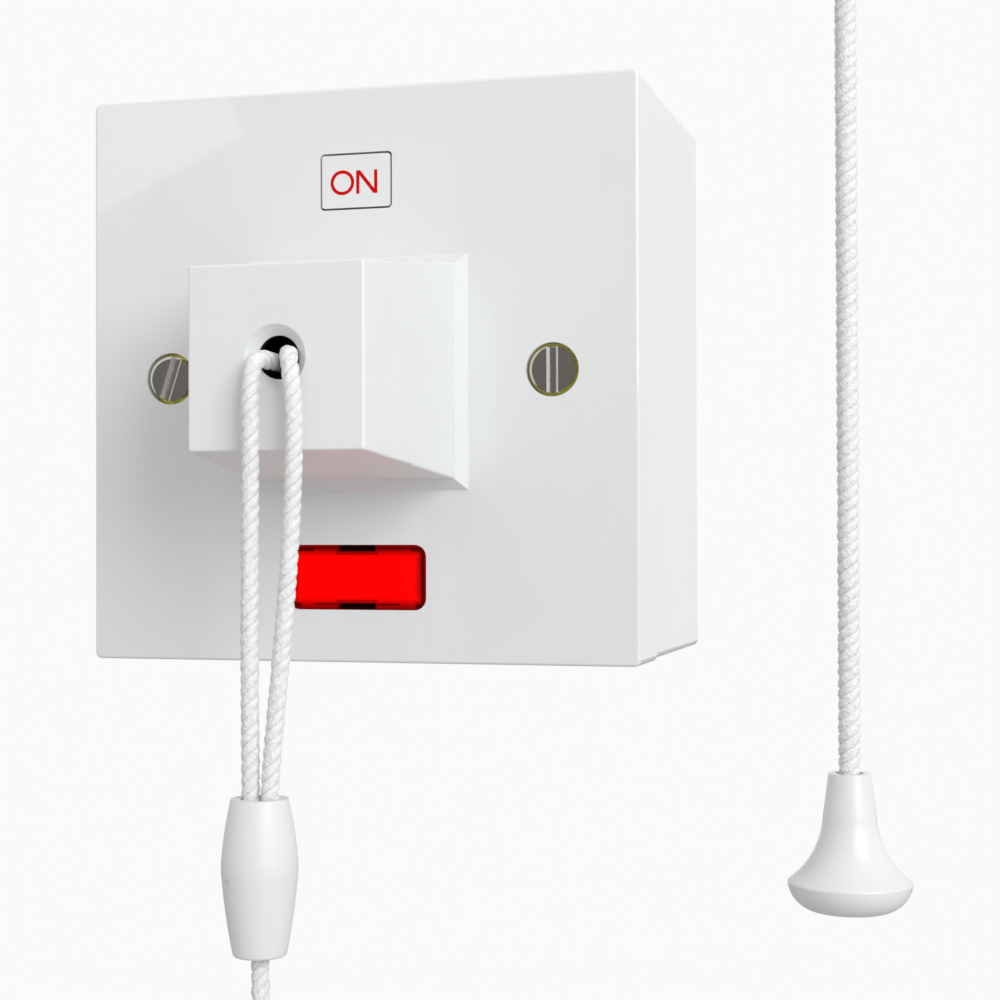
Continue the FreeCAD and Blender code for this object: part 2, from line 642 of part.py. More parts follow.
# Neon indicator: the red lens, its white tray, the lamp, its electrodes, leads and resistor
def neon_indicator():
    lens = body("neon_lens_body")
    half_x = size("lens_width") / 2
    half_z = size("lens_height") / 2
    cap = sketch(lens, "lens_cap", "XZ_Plane", plate_face - size("lens_depth"))
    rectangle(cap, (-half_x, half_x), (-lens_drop - half_z, -lens_drop + half_z))
    pad(lens, cap, size("lens_depth"))
    rounded(lens, "lens_corners", size("lens_corner"), lambda edge, middle: along_depth(edge))
    flange = sketch(lens, "lens_flange", "XZ_Plane", plate_inside)
    wide = size("lens_flange")
    rectangle(flange, (-half_x - wide, half_x + wide),
              (-lens_drop - half_z - wide, -lens_drop + half_z + wide))
    pad(lens, flange, size("lens_wall"), True)
    hollow = sketch(lens, "lens_hollow", "XZ_Plane", plate_face - size("lens_depth"))
    wall = size("lens_wall")
    rectangle(hollow, (-half_x + wall, half_x - wall),
              (-lens_drop - half_z + wall, -lens_drop + half_z - wall))
    doc.recompute()
    pocket(lens, hollow, size("lens_depth") - wall, True)
    notches = sketch(lens, "lens_notches", "XZ_Plane", plate_face)
    half_notch = size("notch_width") / 2
    for side in BOTH:
        edge = -lens_drop + side * half_z
        rectangle(notches, (-half_notch, half_notch),
                  (edge - side * size("notch_height"), edge + side * size("overcut")))
    pocket(lens, notches, size("notch_depth"))
    node("neon_lens", lens)

    tray_front = plate_face - size("lens_depth")
    tray_back = tray_front - size("tray_depth")
    flange_x = half_x + wide
    flange_z = half_z + wide
    thin = size("tray_wall")
    outer = block("tray_outer", (-flange_x, flange_x), (-tray_front, -tray_back),
                  (-lens_drop - flange_z, -lens_drop + flange_z))
    inner = block("tray_inner", (-flange_x + thin, flange_x - thin),
                  (-tray_front - size("overcut"), -tray_back - thin),
                  (-lens_drop - flange_z + thin, -lens_drop + flange_z - thin))
    lamp_depth = tray_back + thin + size("lamp_radius") + size("flag_gap")
    lamp_low = size("lamp_shift") - size("lamp_length") / 2
    resistor_high = lamp_low - size("lead_gap")
    resistor_low = resistor_high - size("resistor_length")
    # the upper lead passes through the resistor, and both leave through the tray's floor
    spread = 2 * size("electrode_radius")
    lead_ends = ((1, resistor_low - size("lead_gap") / 2), (-1, resistor_low + size("lead_gap")))
    lead_holes = [rod("lead_hole%d" % side, size("lead_radius") + size("running_fit"),
                      (x, -tray_back - thin - size("overcut"), -lens_drop + side * spread), "y",
                      thin + 2 * size("overcut"))
                  for side, x in lead_ends]
    node("lamp_tray", cut("tray", outer, [inner] + lead_holes))

    tube = rod("lamp_tube", size("lamp_radius"), (lamp_low, -lamp_depth, -lens_drop), "x",
               size("lamp_length") - size("lamp_radius"))
    dome = doc.addObject("Part::Sphere", "lamp_dome")
    bind(dome, Radius=size("lamp_radius"))
    place(dome, lamp_low + size("lamp_length") - size("lamp_radius"), -lamp_depth, -lens_drop)
    wells = []
    rods = []
    leads = []
    for side, x in lead_ends:
        level = -lens_drop + side * spread
        wells.append(rod("lamp_well%d" % side, size("electrode_radius"),
                         (lamp_low, -lamp_depth, level), "x", size("electrode_length")))
        rods.append(rod("electrode%d" % side, size("electrode_radius"),
                        (lamp_low, -lamp_depth, level), "x", size("electrode_length")))
        across = rod("lead_across%d" % side, size("lead_radius"), (x, -lamp_depth, level), "x",
                     lamp_low - x)
        back = rod("lead_back%d" % side, size("lead_radius"), (x, -lamp_depth, level), "y",
                   lamp_depth - tray_back + thin)
        leads.append(fuse("lead%d" % side, [across, back]))
    node("neon_lamp", cut("lamp", fuse("lamp_glass", [tube, dome]), wells))
    node("lamp_electrodes", group("electrodes", rods))
    node("lamp_leads", group("leads", leads))
    blank = rod("resistor_blank", size("resistor_radius"),
                (resistor_low, -lamp_depth, -lens_drop + spread), "x", size("resistor_length"))
    way = rod("resistor_way", size("lead_radius"),
              (resistor_low - size("overcut"), -lamp_depth, -lens_drop + spread), "x",
              size("resistor_length") + 2 * size("overcut"))
    node("lamp_resistor", cut("resistor", blank, [way]))


# Housing of the mechanism: a cover against the plate and a deep case behind it
def mechanism_housing():
    slot_x = size("arm_width") / 2 + size("cheek_gap")
    guide_x = size("stem_width") / 2 + size("stem_fit")
    guide_z = size("stem_height") / 2 + size("stem_fit")
    corners = [(x_side * housing_screw_x, z_side * housing_screw_z)
               for x_side in BOTH for z_side in BOTH]

    cover = body("mechanism_cover_body")
    face = sketch(cover, "cover_face", "XZ_Plane", cover_back)
    rectangle(face, (-half_housing_x, half_housing_x), (-half_housing_z, half_housing_z))
    pad(cover, face, size("cover_thickness"))
    rounded(cover, "cover_corners", size("housing_corner"),
            lambda edge, middle: along_depth(edge))
    guide = sketch(cover, "stem_guide", "XZ_Plane", cover_front)
    rectangle(guide, (-guide_x, guide_x), (-guide_z, guide_z))
    for x, z in corners:
        circle(guide, x, z, size("post_radius") + size("running_fit"))
    pocket(cover, guide, size("cover_thickness"))
    node("mechanism_cover", cover)

    case = body("mechanism_case_body")
    back = sketch(case, "case_back", "XZ_Plane", housing_back)
    rectangle(back, (-half_housing_x, half_housing_x), (-half_housing_z, half_housing_z))
    pad(case, back, size("housing_depth"))
    rounded(case, "case_corners", size("housing_corner"), lambda edge, middle: along_depth(edge))
    hollow = sketch(case, "case_hollow", "XZ_Plane", housing_floor)
    rectangle(hollow, (-half_cavity_x, half_cavity_x), (-half_cavity_z, half_cavity_z))
    pocket(case, hollow, size("housing_depth") - size("floor_thickness"), True)
    slot = sketch(case, "arm_slot", "XZ_Plane", housing_floor)
    rectangle(slot, (-slot_x, slot_x),
              (half_cavity_z - size("overcut"), half_housing_z + size("overcut")))
    pocket(case, slot, size("housing_depth") - size("floor_thickness"), True)
    cheeks = sketch(case, "cheeks", "XZ_Plane", housing_floor)
    cheek_x = size("fork_slot") / 2 + cheek_clear()
    for side in BOTH:
        rectangle(cheeks, (side * cheek_x, side * (cheek_x + size("cheek_thickness"))),
                  (-size("cheek_half_height"), size("cheek_half_height")))
    pad(case, cheeks, pivot + size("cheek_half_height") - housing_floor)
    doc.recompute()
    bearing = sketch(case, "bearing", "YZ_Plane", -(cheek_x + size("cheek_thickness")))
    circle(bearing, -pivot, 0, size("pin_radius"))
    drilled = case.newObject("PartDesign::Pocket", "bearing_pocket")
    drilled.Profile = bearing
    drilled.Reversed = True
    bind(drilled, Length=2 * (cheek_x + size("cheek_thickness")))
    doc.recompute()
    bores = sketch(case, "case_bores", "XZ_Plane", cover_back)
    for x, z in corners:
        circle(bores, x, z, size("housing_screw_radius") + size("running_fit"))
    pocket(case, bores, size("housing_depth"))
    heads = sketch(case, "case_head_seats", "XZ_Plane", housing_back)
    for x, z in corners:
        circle(heads, x, z, size("housing_head_radius") + size("running_fit"))
    pocket(case, heads, size("housing_head_thickness"), True)
    wells = sketch(case, "terminal_wells", "XZ_Plane", housing_back)
    for x_side in BOTH:
        for z_side in BOTH:
            low, high = terminal_span(x_side, z_side)
            rectangle(wells, (low[0], high[0]), (low[1], high[1]))
    pocket(case, wells, size("terminal_length"), True)
    strips = sketch(case, "strip_slots", "XZ_Plane", housing_back)
    links = sketch(case, "strip_links", "XZ_Plane", housing_back)
    ends = sketch(case, "strip_ends", "XZ_Plane", housing_back)
    side_bores = sketch(case, "terminal_screw_ways", "YZ_Plane", -half_housing_x)
    for x_side in BOTH:
        for z_side in BOTH:
            rectangle(strips, strip_span(x_side, z_side), strip_rows())
        rectangle(links, strip_span(x_side, 1), (strip_rows()[1], link_rows()[1]))
        rectangle(ends, link_span(x_side), link_rows())
    for z_side in BOTH:
        circle(side_bores, -housing_back - size("terminal_length") / 2,
               z_side * terminal_level, size("terminal_screw_radius") + size("running_fit"))
    pocket(case, strips, size("floor_thickness"), True)
    pocket(case, links, size("strip_thickness"), True)
    pocket(case, ends, size("strip_thickness"), True)
    ways = case.newObject("PartDesign::Pocket", "terminal_screw_pocket")
    ways.Profile = side_bores
    ways.Reversed = True
    bind(ways, Length=size("housing_width"))
    node("mechanism_case", case)

    screws = []
    for index, (x, z) in enumerate(corners):
        head = rod("housing_head%d" % index, size("housing_head_radius"),
                   (x, -housing_back - size("housing_head_thickness"), z), "y",
                   size("housing_head_thickness"))
        shank = rod("housing_shank%d" % index, size("housing_screw_radius"),
                    (x, -cover_front, z), "y", cover_front - housing_back)
        screws.append(fuse("housing_screw%d" % index, [head, shank]))
    node("mechanism_screws", group("housing_screws", screws))


def cheek_clear():
    return (size("stem_width") - size("fork_slot")) / 2 + size("cheek_gap")


# Both poles are alike: an outer strip meets the lower terminal, an inner one the upper terminal
terminal_level = size("leg_length") - size("tip_radius") - size("terminal_height") / 2


def terminal_span(x_side, z_side):
    x = x_side * (half_housing_x - size("housing_wall") - size("terminal_width") / 2)
    z = z_side * terminal_level
    half_x = size("terminal_width") / 2
    half_z = size("terminal_height") / 2
    return (x - half_x, z - half_z), (x + half_x, z + half_z)


def strip_span(x_side, z_side):
    centre = x_side * (pole_offset - z_side * size("tip_offset"))
    return centre - size("strip_width") / 2, centre + size("strip_width") / 2


def strip_rows():
    centre = -size("leg_length")
    return centre - size("tip_radius"), centre + size("tip_radius")


def link_rows():
    low = terminal_level - size("terminal_height") / 2
    return low, low + size("strip_width")


def link_span(x_side):
    near_terminal = half_housing_x - size("housing_wall") - size("terminal_width")
    inner = pole_offset - size("tip_offset") + size("strip_width") / 2
    if x_side > 0:
        return inner, near_terminal
    return -near_terminal, -inner


# Driver: guided by its flange in the boss and its stem in the cover, pulled by the cord's loop
def driver():
    part = body("driver_body")
    nose_front = boss_inside - size("stop_gap") - size("pull_travel")
    flange_front = nose_front - size("nose_length")
    flange_back = flange_front - size("flange_thickness")
    half_flange = size("boss_cavity") / 2 - size("flange_fit")
    flange = sketch(part, "driver_flange", "XZ_Plane", flange_back)
    rectangle(flange, (-half_flange, half_flange), (-half_flange, half_flange))
    pad(part, flange, size("flange_thickness"))
    nose = sketch(part, "driver_nose", "XZ_Plane", flange_front)
    circle(nose, 0, 0, size("nose_radius"))
    pad(part, nose, size("nose_length"))
    stem = sketch(part, "driver_stem", "XZ_Plane", flange_back)
    half_x = size("stem_width") / 2
    half_z = size("stem_height") / 2
    rectangle(stem, (-half_x, half_x), (-half_z, half_z))
    stem_back = pivot + size("hub_radius") + size("fork_gap")
    pad(part, stem, flange_back - stem_back, True)
    doc.recompute()
    fork = sketch(part, "driver_fork", "XZ_Plane", stem_back)
    half_fork = size("fork_slot") / 2
    rectangle(fork, (-half_fork, half_fork), (-half_z - size("overcut"), half_z + size("overcut")))
    pocket(part, fork, size("fork_depth"), True)
    eye = sketch(part, "driver_eye", "XZ_Plane", nose_front)
    half_slot = size("nose_slot") / 2
    half_eye = size("nose_radius") + size("overcut")
    rectangle(eye, (-half_eye, half_eye), (-half_slot, half_slot))
    pocket(part, eye, size("eye_length"))
    pin_depth = nose_front - size("driver_pin_setback")
    drilling = sketch(part, "driver_pin_bore", "XY_Plane", -size("nose_radius"))
    circle(drilling, 0, -pin_depth, size("driver_pin_radius"))
    bore = part.newObject("PartDesign::Pocket", "driver_pin_pocket")
    bore.Profile = drilling
    bore.Reversed = True
    bind(bore, Length=2 * size("nose_radius"))
    node("driver", part)
    node("driver_pin", rod("driver_pin_rod", size("driver_pin_radius"),
                           (0, -pin_depth, -size("nose_radius") + size("flag_gap")), "z",
                           2 * (size("nose_radius") - size("flag_gap"))))
    node("return_spring", coil("return_coil", size("spring_radius"), size("spring_wire"),
                               flange_front + size("spring_clear"),
                               boss_inside - size("spring_clear"), size("spring_turns")))


# Rocker: a lever on a steel pin, with the bar that carries the two bridging contacts
def rocker():
    part = body("rocker_body")
    side_view = sketch(part, "rocker_hub", "YZ_Plane", -size("hub_width") / 2)
    circle(side_view, -pivot, 0, size("hub_radius"))
    pad(part, side_view, size("hub_width"))
    arm = sketch(part, "rocker_arm", "YZ_Plane", -size("arm_width") / 2)
    half_arm = size("arm_thickness") / 2
    rectangle(arm, (-pivot - half_arm, -pivot + half_arm), (0, arm_length))
    pad(part, arm, size("arm_width"))
    knuckle = sketch(part, "rocker_knuckle", "YZ_Plane", -size("arm_width") / 2)
    circle(knuckle, -pivot, arm_length, size("arm_tip_radius"))
    pad(part, knuckle, size("arm_width"))
    leg = sketch(part, "rocker_leg", "YZ_Plane", -size("hub_width") / 2)
    half_leg = size("leg_thickness") / 2
    rectangle(leg, (-pivot - half_leg, -pivot + half_leg), (-size("leg_length"), 0))
    pad(part, leg, size("hub_width"))
    half_width = pole_offset + size("bar_reach")
    bar = sketch(part, "rocker_bar", "YZ_Plane", -half_width)
    half_bar = size("bar_thickness") / 2
    rectangle(bar, (-pivot - half_bar, -pivot + half_bar),
              (-size("leg_length"), -size("leg_length") + size("bar_height")))
    pad(part, bar, 2 * half_width)
    doc.recompute()
    hole = sketch(part, "rocker_bore", "YZ_Plane", -size("hub_width") / 2)
    circle(hole, -pivot, 0, size("pin_radius") + size("running_fit"))
    bore = part.newObject("PartDesign::Pocket", "rocker_bore_pocket")
    bore.Profile = hole
    bore.Reversed = True
    bind(bore, Length=size("hub_width"))
    node("rocker", part)
    cheek_x = size("fork_slot") / 2 + cheek_clear() + size("cheek_thickness")
    node("rocker_pin", rod("rocker_pin_rod", size("pin_radius"), (-cheek_x, -pivot, 0), "x",
                           2 * cheek_x))
    spring_low = housing_floor + size("spring_clear")
    spring_high = pivot - size("hub_radius") - size("spring_clear")
    node("toggle_spring", coil("toggle_coil", size("toggle_radius"), size("toggle_wire"),
                               spring_low, spring_high, size("toggle_turns")))


# Contacts: a silver-tipped bridge on the rocker for each pole, and the strips that it joins
def contacts():
    bar_back = pivot - size("bar_thickness") / 2
    bridge_back = bar_back - size("bridge_thickness")
    tip_back = bridge_back - size("tip_thickness")
    level = -size("leg_length")
    bridges = []
    for side in BOTH:
        pole = side * pole_offset
        half_width = size("bridge_width") / 2
        plate = block("bridge%d" % side, (pole - half_width, pole + half_width),
                      (-bar_back, -bridge_back), (level - size("tip_radius"),
                                                  level - size("tip_radius")
                                                  + size("bridge_height")))
        tips = [rod("bridge_tip%d_%d" % (side, tip), size("tip_radius"),
                    (pole + tip * size("tip_offset"), -bridge_back, level), "y",
                    size("tip_thickness")) for tip in BOTH]
        bridges.append(fuse("bridge_set%d" % side, [plate] + tips))
    node("bridge_contacts", group("bridges", bridges))
    strip_front = tip_back - size("contact_gap")
    strips = []
    link_depth = housing_back + size("strip_thickness")
    for x_side in BOTH:
        for z_side in BOTH:
            label = "%d_%d" % (x_side, z_side)
            span = strip_span(x_side, z_side)
            strip = block("strip" + label, span, (-strip_front, -housing_back), strip_rows())
            if z_side > 0:
                riser = block("riser" + label, span, (-link_depth, -housing_back),
                              (strip_rows()[1], link_rows()[1]))
                link = block("link" + label, link_span(x_side), (-link_depth, -housing_back),
                             link_rows())
                strip = fuse("strip_set" + label, [strip, riser, link])
            strips.append(strip)
    node("contact_strips", group("strips", strips))


# Terminals: four brass blocks in the case and one for the earth wire in the box
def terminals():
    blocks = []
    screws = []
    for x_side in BOTH:
        for z_side in BOTH:
            low, high = terminal_span(x_side, z_side)
            label = "%d_%d" % (x_side, z_side)
            blank = block("terminal" + label, (low[0], high[0]),
                          (-housing_back - size("terminal_length"), -housing_back),
                          (low[1], high[1]))
            middle_x = (low[0] + high[0]) / 2
            middle_z = (low[1] + high[1]) / 2
            middle_y = -housing_back - size("terminal_length") / 2
            wire = rod("wire_bore" + label, size("wire_bore"),
                       (middle_x, -housing_back - size("terminal_length") + size("wire_stop"),
                        middle_z), "y", size("terminal_length"))
            outer_x = half_housing_x if x_side > 0 else -half_housing_x
            screw_low = outer_x - size("terminal_screw_length") if x_side > 0 else outer_x
            tapped = rod("tapped" + label, size("terminal_screw_radius") + size("running_fit"),
                         (middle_x if x_side > 0 else low[0], middle_y, middle_z), "x",
                         size("terminal_width") / 2)
            blocks.append(cut("terminal_block" + label, blank, [wire, tapped]))
            screws.append(rod("terminal_screw" + label, size("terminal_screw_radius"),
                              (screw_low, middle_y, middle_z), "x",
                              size("terminal_screw_length")))
    node("terminals", group("terminal_blocks", blocks))
    node("terminal_screws", group("terminal_screw_set", screws))
    offset = size("earth_offset")
    half_terminal = size("terminal_width") / 2
    base = size("box_back")
    top = base + size("terminal_length")
    earth = block("earth_blank", (offset - half_terminal, offset + half_terminal), (-top, -base),
                  (-offset - half_terminal, -offset + half_terminal))
    earth_depth = base + size("earth_seat") + size("wire_bore") + size("earth_clear")
    earth_bore = rod("earth_bore", size("wire_bore"),
                     (offset - half_terminal - size("overcut"), -earth_depth, -offset), "x",
                     size("terminal_width") + 2 * size("overcut"))
    screw_front = top + size("overcut")
    screw_bore = rod("earth_screw_bore", size("terminal_screw_radius"),
                     (offset, -screw_front, -offset), "y", screw_front - earth_depth)
    node("earth_terminal", cut("earth", earth, [earth_bore, screw_bore]))
    node("earth_screw", rod("earth_screw_rod", size("terminal_screw_radius") - size("running_fit"),
                            (offset, -screw_front, -offset), "y",
                            size("terminal_screw_length")))


# Cord: a tube of straight runs and tangent arcs through points chosen by hand
BEND_SHARE = 0.45


def cord_tube(name, points, diameter):
    corners = [Vector(*point) for point in points]
    cuts = []
    arcs = []
    radii = []
    for before, corner, after in zip(corners, corners[1:], corners[2:]):
        back = before - corner
        ahead = after - corner
        turn = math.pi - back.getAngle(ahead)
        reach = BEND_SHARE * min(back.Length, ahead.Length)
        radius = reach / math.tan(turn / 2)
        radii.append(radius)
        start = corner + back.normalize() * reach
        end = corner + ahead.normalize() * reach
        bisector = (back + ahead).normalize()
        middle = corner + bisector * (radius / math.cos(turn / 2) - radius)
        cuts.append((start, end))
        arcs.append(Part.Arc(start, middle, end))
    pieces = []
    position = corners[0]
    for (start, end), arc in zip(cuts, arcs):
        pieces.append(Part.LineSegment(position, start).toShape())
        pieces.append(arc.toShape())
        position = end
    pieces.append(Part.LineSegment(position, corners[-1]).toShape())
    path = Part.Wire(pieces)
    direction = corners[1] - corners[0]
    section = Part.Wire([Part.Circle(corners[0], direction, diameter / 2).toShape()])
    tube = path.makePipeShell([section], True, True)
    expected = math.pi * diameter ** 2 / 4 * path.Length
    print("%s length %.1f, volume ratio %.4f, radii %s"
          % (name, path.Length, tube.Volume / expected, ["%.1f" % radius for radius in radii]))
    feature = doc.addObject("Part::Feature", name + "_tube")
    feature.Shape = tube
    feature.Placement = Placement()
    node(name, feature)


# Levels of the connector's shelf, the bell's shelf and the knots that rest under them
tail_x = size("tail_x")
tail_depth = size("tail_depth")
bead_shelf = size("bead_cavity_length") - size("bead_length")
bead_rest = bead_shelf + size("bead_cavity") - size("bead_mouth")
bell_shelf = size("bell_cavity_length") - size("bell_length")
bell_rest = bell_shelf + (size("bell_cavity") - size("bell_bore")) / 2
knot_height = (bead_rest - size("bead_drop") - size("running_fit")
               - root(size("knot_radius") * size("knot_radius")
                      - size("bead_mouth") * size("bead_mouth")))
bell_knot_height = (bell_rest - size("bell_drop") - size("running_fit")
                    - root(size("bell_knot_radius") * size("bell_knot_radius")
                           - size("bell_bore") * size("bell_bore")))
coil_top = (size("ring_radius") + size("bundle_radius") + size("cord_diameter")
            - size("coil_drop"))
left_strand = number(tail_x - size("strand_spacing") / 2)
right_strand = number(tail_x + size("strand_spacing") / 2)
hang = -number(tail_depth)
bead_level = -number(size("bead_drop"))

# Route of the loop: up one strand, over the lip, round the driver's pin and back
LOOP = [
    (left_strand, hang, number(knot_height)), (left_strand, hang, bead_level),
    (-2.35, -84.1, -46.0), (-2.6, -83.5, -28.0), (-2.5, -83.4, -12.0),
    (-2.6, -83.6, -4.0), (-2.3, -82.2, -0.1), (-1.15, -78.7, -0.5), (-1.6, -74.6, -0.4),
    (-2.45, -70.6, 0.0), (-2.4, -66.4, 0.0), (2.4, -66.4, 0.0), (2.45, -70.6, 0.0),
    (2.0, -74.6, 0.1), (1.25, -78.7, 0.2), (2.3, -82.1, 0.4), (3.5, -83.6, -3.5),
    (3.8, -83.4, -12.0), (3.0, -83.5, -28.0), (1.5, -84.1, -46.0),
    (right_strand, hang, bead_level), (right_strand, hang, number(knot_height)),
]
# Route from the coil to the bell: out to the right, up beside the switch, over and down
BELL_X = 78.1
BELL_DEPTH = 107.4
LEAD = [
    (2.2, -90.6, -96.0), (4.2, -91.0, -102.2), (12.0, -91.4, -106.2), (26.0, -91.6, -107.6),
    (48.0, -93.5, -107.2), (76.0, -98.5, -102.5), (96.2, -104.0, -82.0), (99.8, -106.4, -50.0),
    (98.2, -107.8, -14.0), (99.4, -107.0, 22.0), (99.0, -BELL_DEPTH, 48.0),
    (BELL_X, -BELL_DEPTH, 48.0), (BELL_X, -BELL_DEPTH, number(bell_knot_height)),
]


def cord():
    diameter = number(size("cord_diameter"))
    cord_tube("cord_loop", LOOP, diameter)
    knot = doc.addObject("Part::Sphere", "knot_ball")
    bind(knot, Radius=size("knot_radius"))
    place(knot, tail_x, -tail_depth, knot_height)
    node("loop_knot", knot)
    # the tail ends inside the wraps that tie the coil
    tail_end = coil_top - size("cord_diameter") / 2
    node("cord_tail", rod("tail_rod", size("cord_diameter") / 2, (tail_x, -tail_depth, tail_end),
                          "z", knot_height - tail_end))
    ring = doc.addObject("Part::Torus", "coil_ring")
    bind(ring, Radius1=size("ring_radius"), Radius2=size("bundle_radius"))
    place(ring, tail_x, -tail_depth, -size("coil_drop"), Rotation(Vector(1, 0, 0), 90))
    collar = rod("coil_collar", size("bundle_radius") + size("cord_diameter"),
                 (tail_x - size("collar_length") / 2, -tail_depth,
                  size("ring_radius") - size("coil_drop")), "x", size("collar_length"))
    node("cord_coil", fuse("coil_with_wraps", [ring, collar]))
    cord_tube("cord_lead", LEAD, diameter)


# Connector: a barrel bead that hides the knot between the loop and the long cord
def connector():
    bead = body("cord_connector_body")
    profile = sketch(bead, "bead_profile", "XZ_Plane")
    waist = -size("bead_waist_drop")
    bottom = -size("bead_length")
    mouth = size("bead_mouth")
    cavity = size("bead_cavity")
    top_radius = size("bead_top_radius")
    waist_radius = size("bead_waist_radius")
    bottom_radius = size("bead_bottom_radius")
    upper = (top_radius + (waist_radius - top_radius) * size("bead_upper_bulge"), waist / 2)
    lower = (bottom_radius + (waist_radius - bottom_radius) * size("bead_lower_bulge"),
             (waist + bottom) / 2)
    outline(profile,
            [(mouth, 0.0), (top_radius, 0.0), (waist_radius, waist), (bottom_radius, bottom),
             (cavity, bottom), (cavity, bead_shelf), (mouth, bead_rest)],
            {1: upper, 2: lower})
    turned(bead, profile)
    rounded(bead, "bead_waist_curve", size("bead_waist_round"),
            lambda edge, middle: near(middle.z, waist)
            and near(math.hypot(middle.x, middle.y), size("bead_waist_radius")))
    rounded(bead, "bead_bottom_edge", size("bead_edge"),
            lambda edge, middle: near(middle.z, bottom)
            and near(math.hypot(middle.x, middle.y), size("bead_bottom_radius")))
    place(bead, tail_x, -tail_depth, -size("bead_drop"))
    node("cord_connector", bead)


# Bell: the pull at the cord's end, open below for its knot
def bell():
    part = body("bell_pull_body")
    profile = sketch(part, "bell_profile", "XZ_Plane")
    neck = size("bell_neck_radius")
    shoulder = size("bell_shoulder_radius")
    shoulder_level = -size("bell_shoulder_drop")
    rim = size("bell_radius")
    rim_level = -size("bell_rim_drop")
    bottom = -size("bell_length")
    bore = size("bell_bore")
    cavity = size("bell_cavity")
    flare = (shoulder + (rim - shoulder) * size("bell_flare_out"),
             shoulder_level + (rim_level - shoulder_level) * size("bell_flare_down"))
    lip = cavity + size("bell_lip")
    dome = (lip + (rim - lip) * size("bell_dome_out"),
            rim_level + (bottom - rim_level) * size("bell_dome_down"))
    outline(profile,
            [(bore, 0.0), (neck, 0.0), (shoulder, shoulder_level), (rim, rim_level),
             (lip, bottom), (cavity, bottom), (cavity, bell_shelf), (bore, bell_rest)],
            {2: flare, 3: dome})
    turned(part, profile)
    rounded(part, "bell_rim_edge", size("bell_rim"),
            lambda edge, middle: near(middle.z, rim_level)
            and near(math.hypot(middle.x, middle.y), rim))
    place(part, BELL_X, -BELL_DEPTH, -size("bell_drop"))
    node("bell_pull", part)
    knot = doc.addObject("Part::Sphere", "bell_knot_ball")
    bind(knot, Radius=size("bell_knot_radius"))
    place(knot, BELL_X, -BELL_DEPTH, bell_knot_height)
    node("bell_knot", knot)


front_plate()
pattress_box()
fixings()
on_indicator()
neon_indicator()
mechanism_housing()
driver()
rocker()
contacts()
terminals()
cord()
connector()
bell()
doc.recompute()

# Every feature must have worked before anything is written
for feature in doc.Objects:
    if "Invalid" in feature.State or "Error" in feature.State:
        raise RuntimeError("%s failed: %s" % (feature.Name, feature.State))
for name, feature in nodes:
    if feature.Shape.isNull() or not feature.Shape.isValid():
        raise RuntimeError("%s has no valid shape" % name)
os.makedirs("parts", exist_ok=True)
for name, feature in nodes:
    feature.Shape.exportStep("parts/%s.step" % name)
print("%d sub-parts written" % len(nodes))
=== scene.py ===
"""A ceiling pull cord switch

A square box and plate, a hollow boss, an ON tile, a lit neon and a laid cord with its bell.
"""
import math

import bpy
from mathutils import Matrix, Vector, noise


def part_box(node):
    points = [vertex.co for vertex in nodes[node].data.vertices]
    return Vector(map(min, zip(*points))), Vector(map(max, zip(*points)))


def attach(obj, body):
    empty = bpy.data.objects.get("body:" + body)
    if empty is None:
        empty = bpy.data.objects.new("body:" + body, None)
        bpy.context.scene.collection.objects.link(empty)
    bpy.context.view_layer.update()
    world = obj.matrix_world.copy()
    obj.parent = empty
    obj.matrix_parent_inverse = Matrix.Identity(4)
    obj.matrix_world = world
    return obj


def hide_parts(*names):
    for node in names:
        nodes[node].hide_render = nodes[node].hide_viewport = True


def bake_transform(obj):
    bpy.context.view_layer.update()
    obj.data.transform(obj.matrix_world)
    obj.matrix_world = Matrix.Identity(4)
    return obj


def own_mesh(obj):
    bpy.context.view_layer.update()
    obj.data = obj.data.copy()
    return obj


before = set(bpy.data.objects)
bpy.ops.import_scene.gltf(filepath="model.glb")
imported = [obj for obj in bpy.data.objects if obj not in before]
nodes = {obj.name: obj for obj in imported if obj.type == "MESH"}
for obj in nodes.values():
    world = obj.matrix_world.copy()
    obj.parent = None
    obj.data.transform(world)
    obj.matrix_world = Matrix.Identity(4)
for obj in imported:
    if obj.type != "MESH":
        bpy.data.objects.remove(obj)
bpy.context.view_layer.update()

# Viewpoint
# The camera stands to the right of the switch and looks at it from a little below its middle.
eye = bpy.data.objects.new("eye", bpy.data.cameras.new("eye"))
eye.location = (0.0989, -0.3232, -0.0226)
eye.rotation_euler = (math.radians(90.74), math.radians(0.18), math.radians(15.63))
eye.data.lens = 70.2
eye.data.sensor_width = 36.0
eye.data.clip_start = 0.01
bpy.context.scene.collection.objects.link(eye)
bpy.context.scene.camera = eye


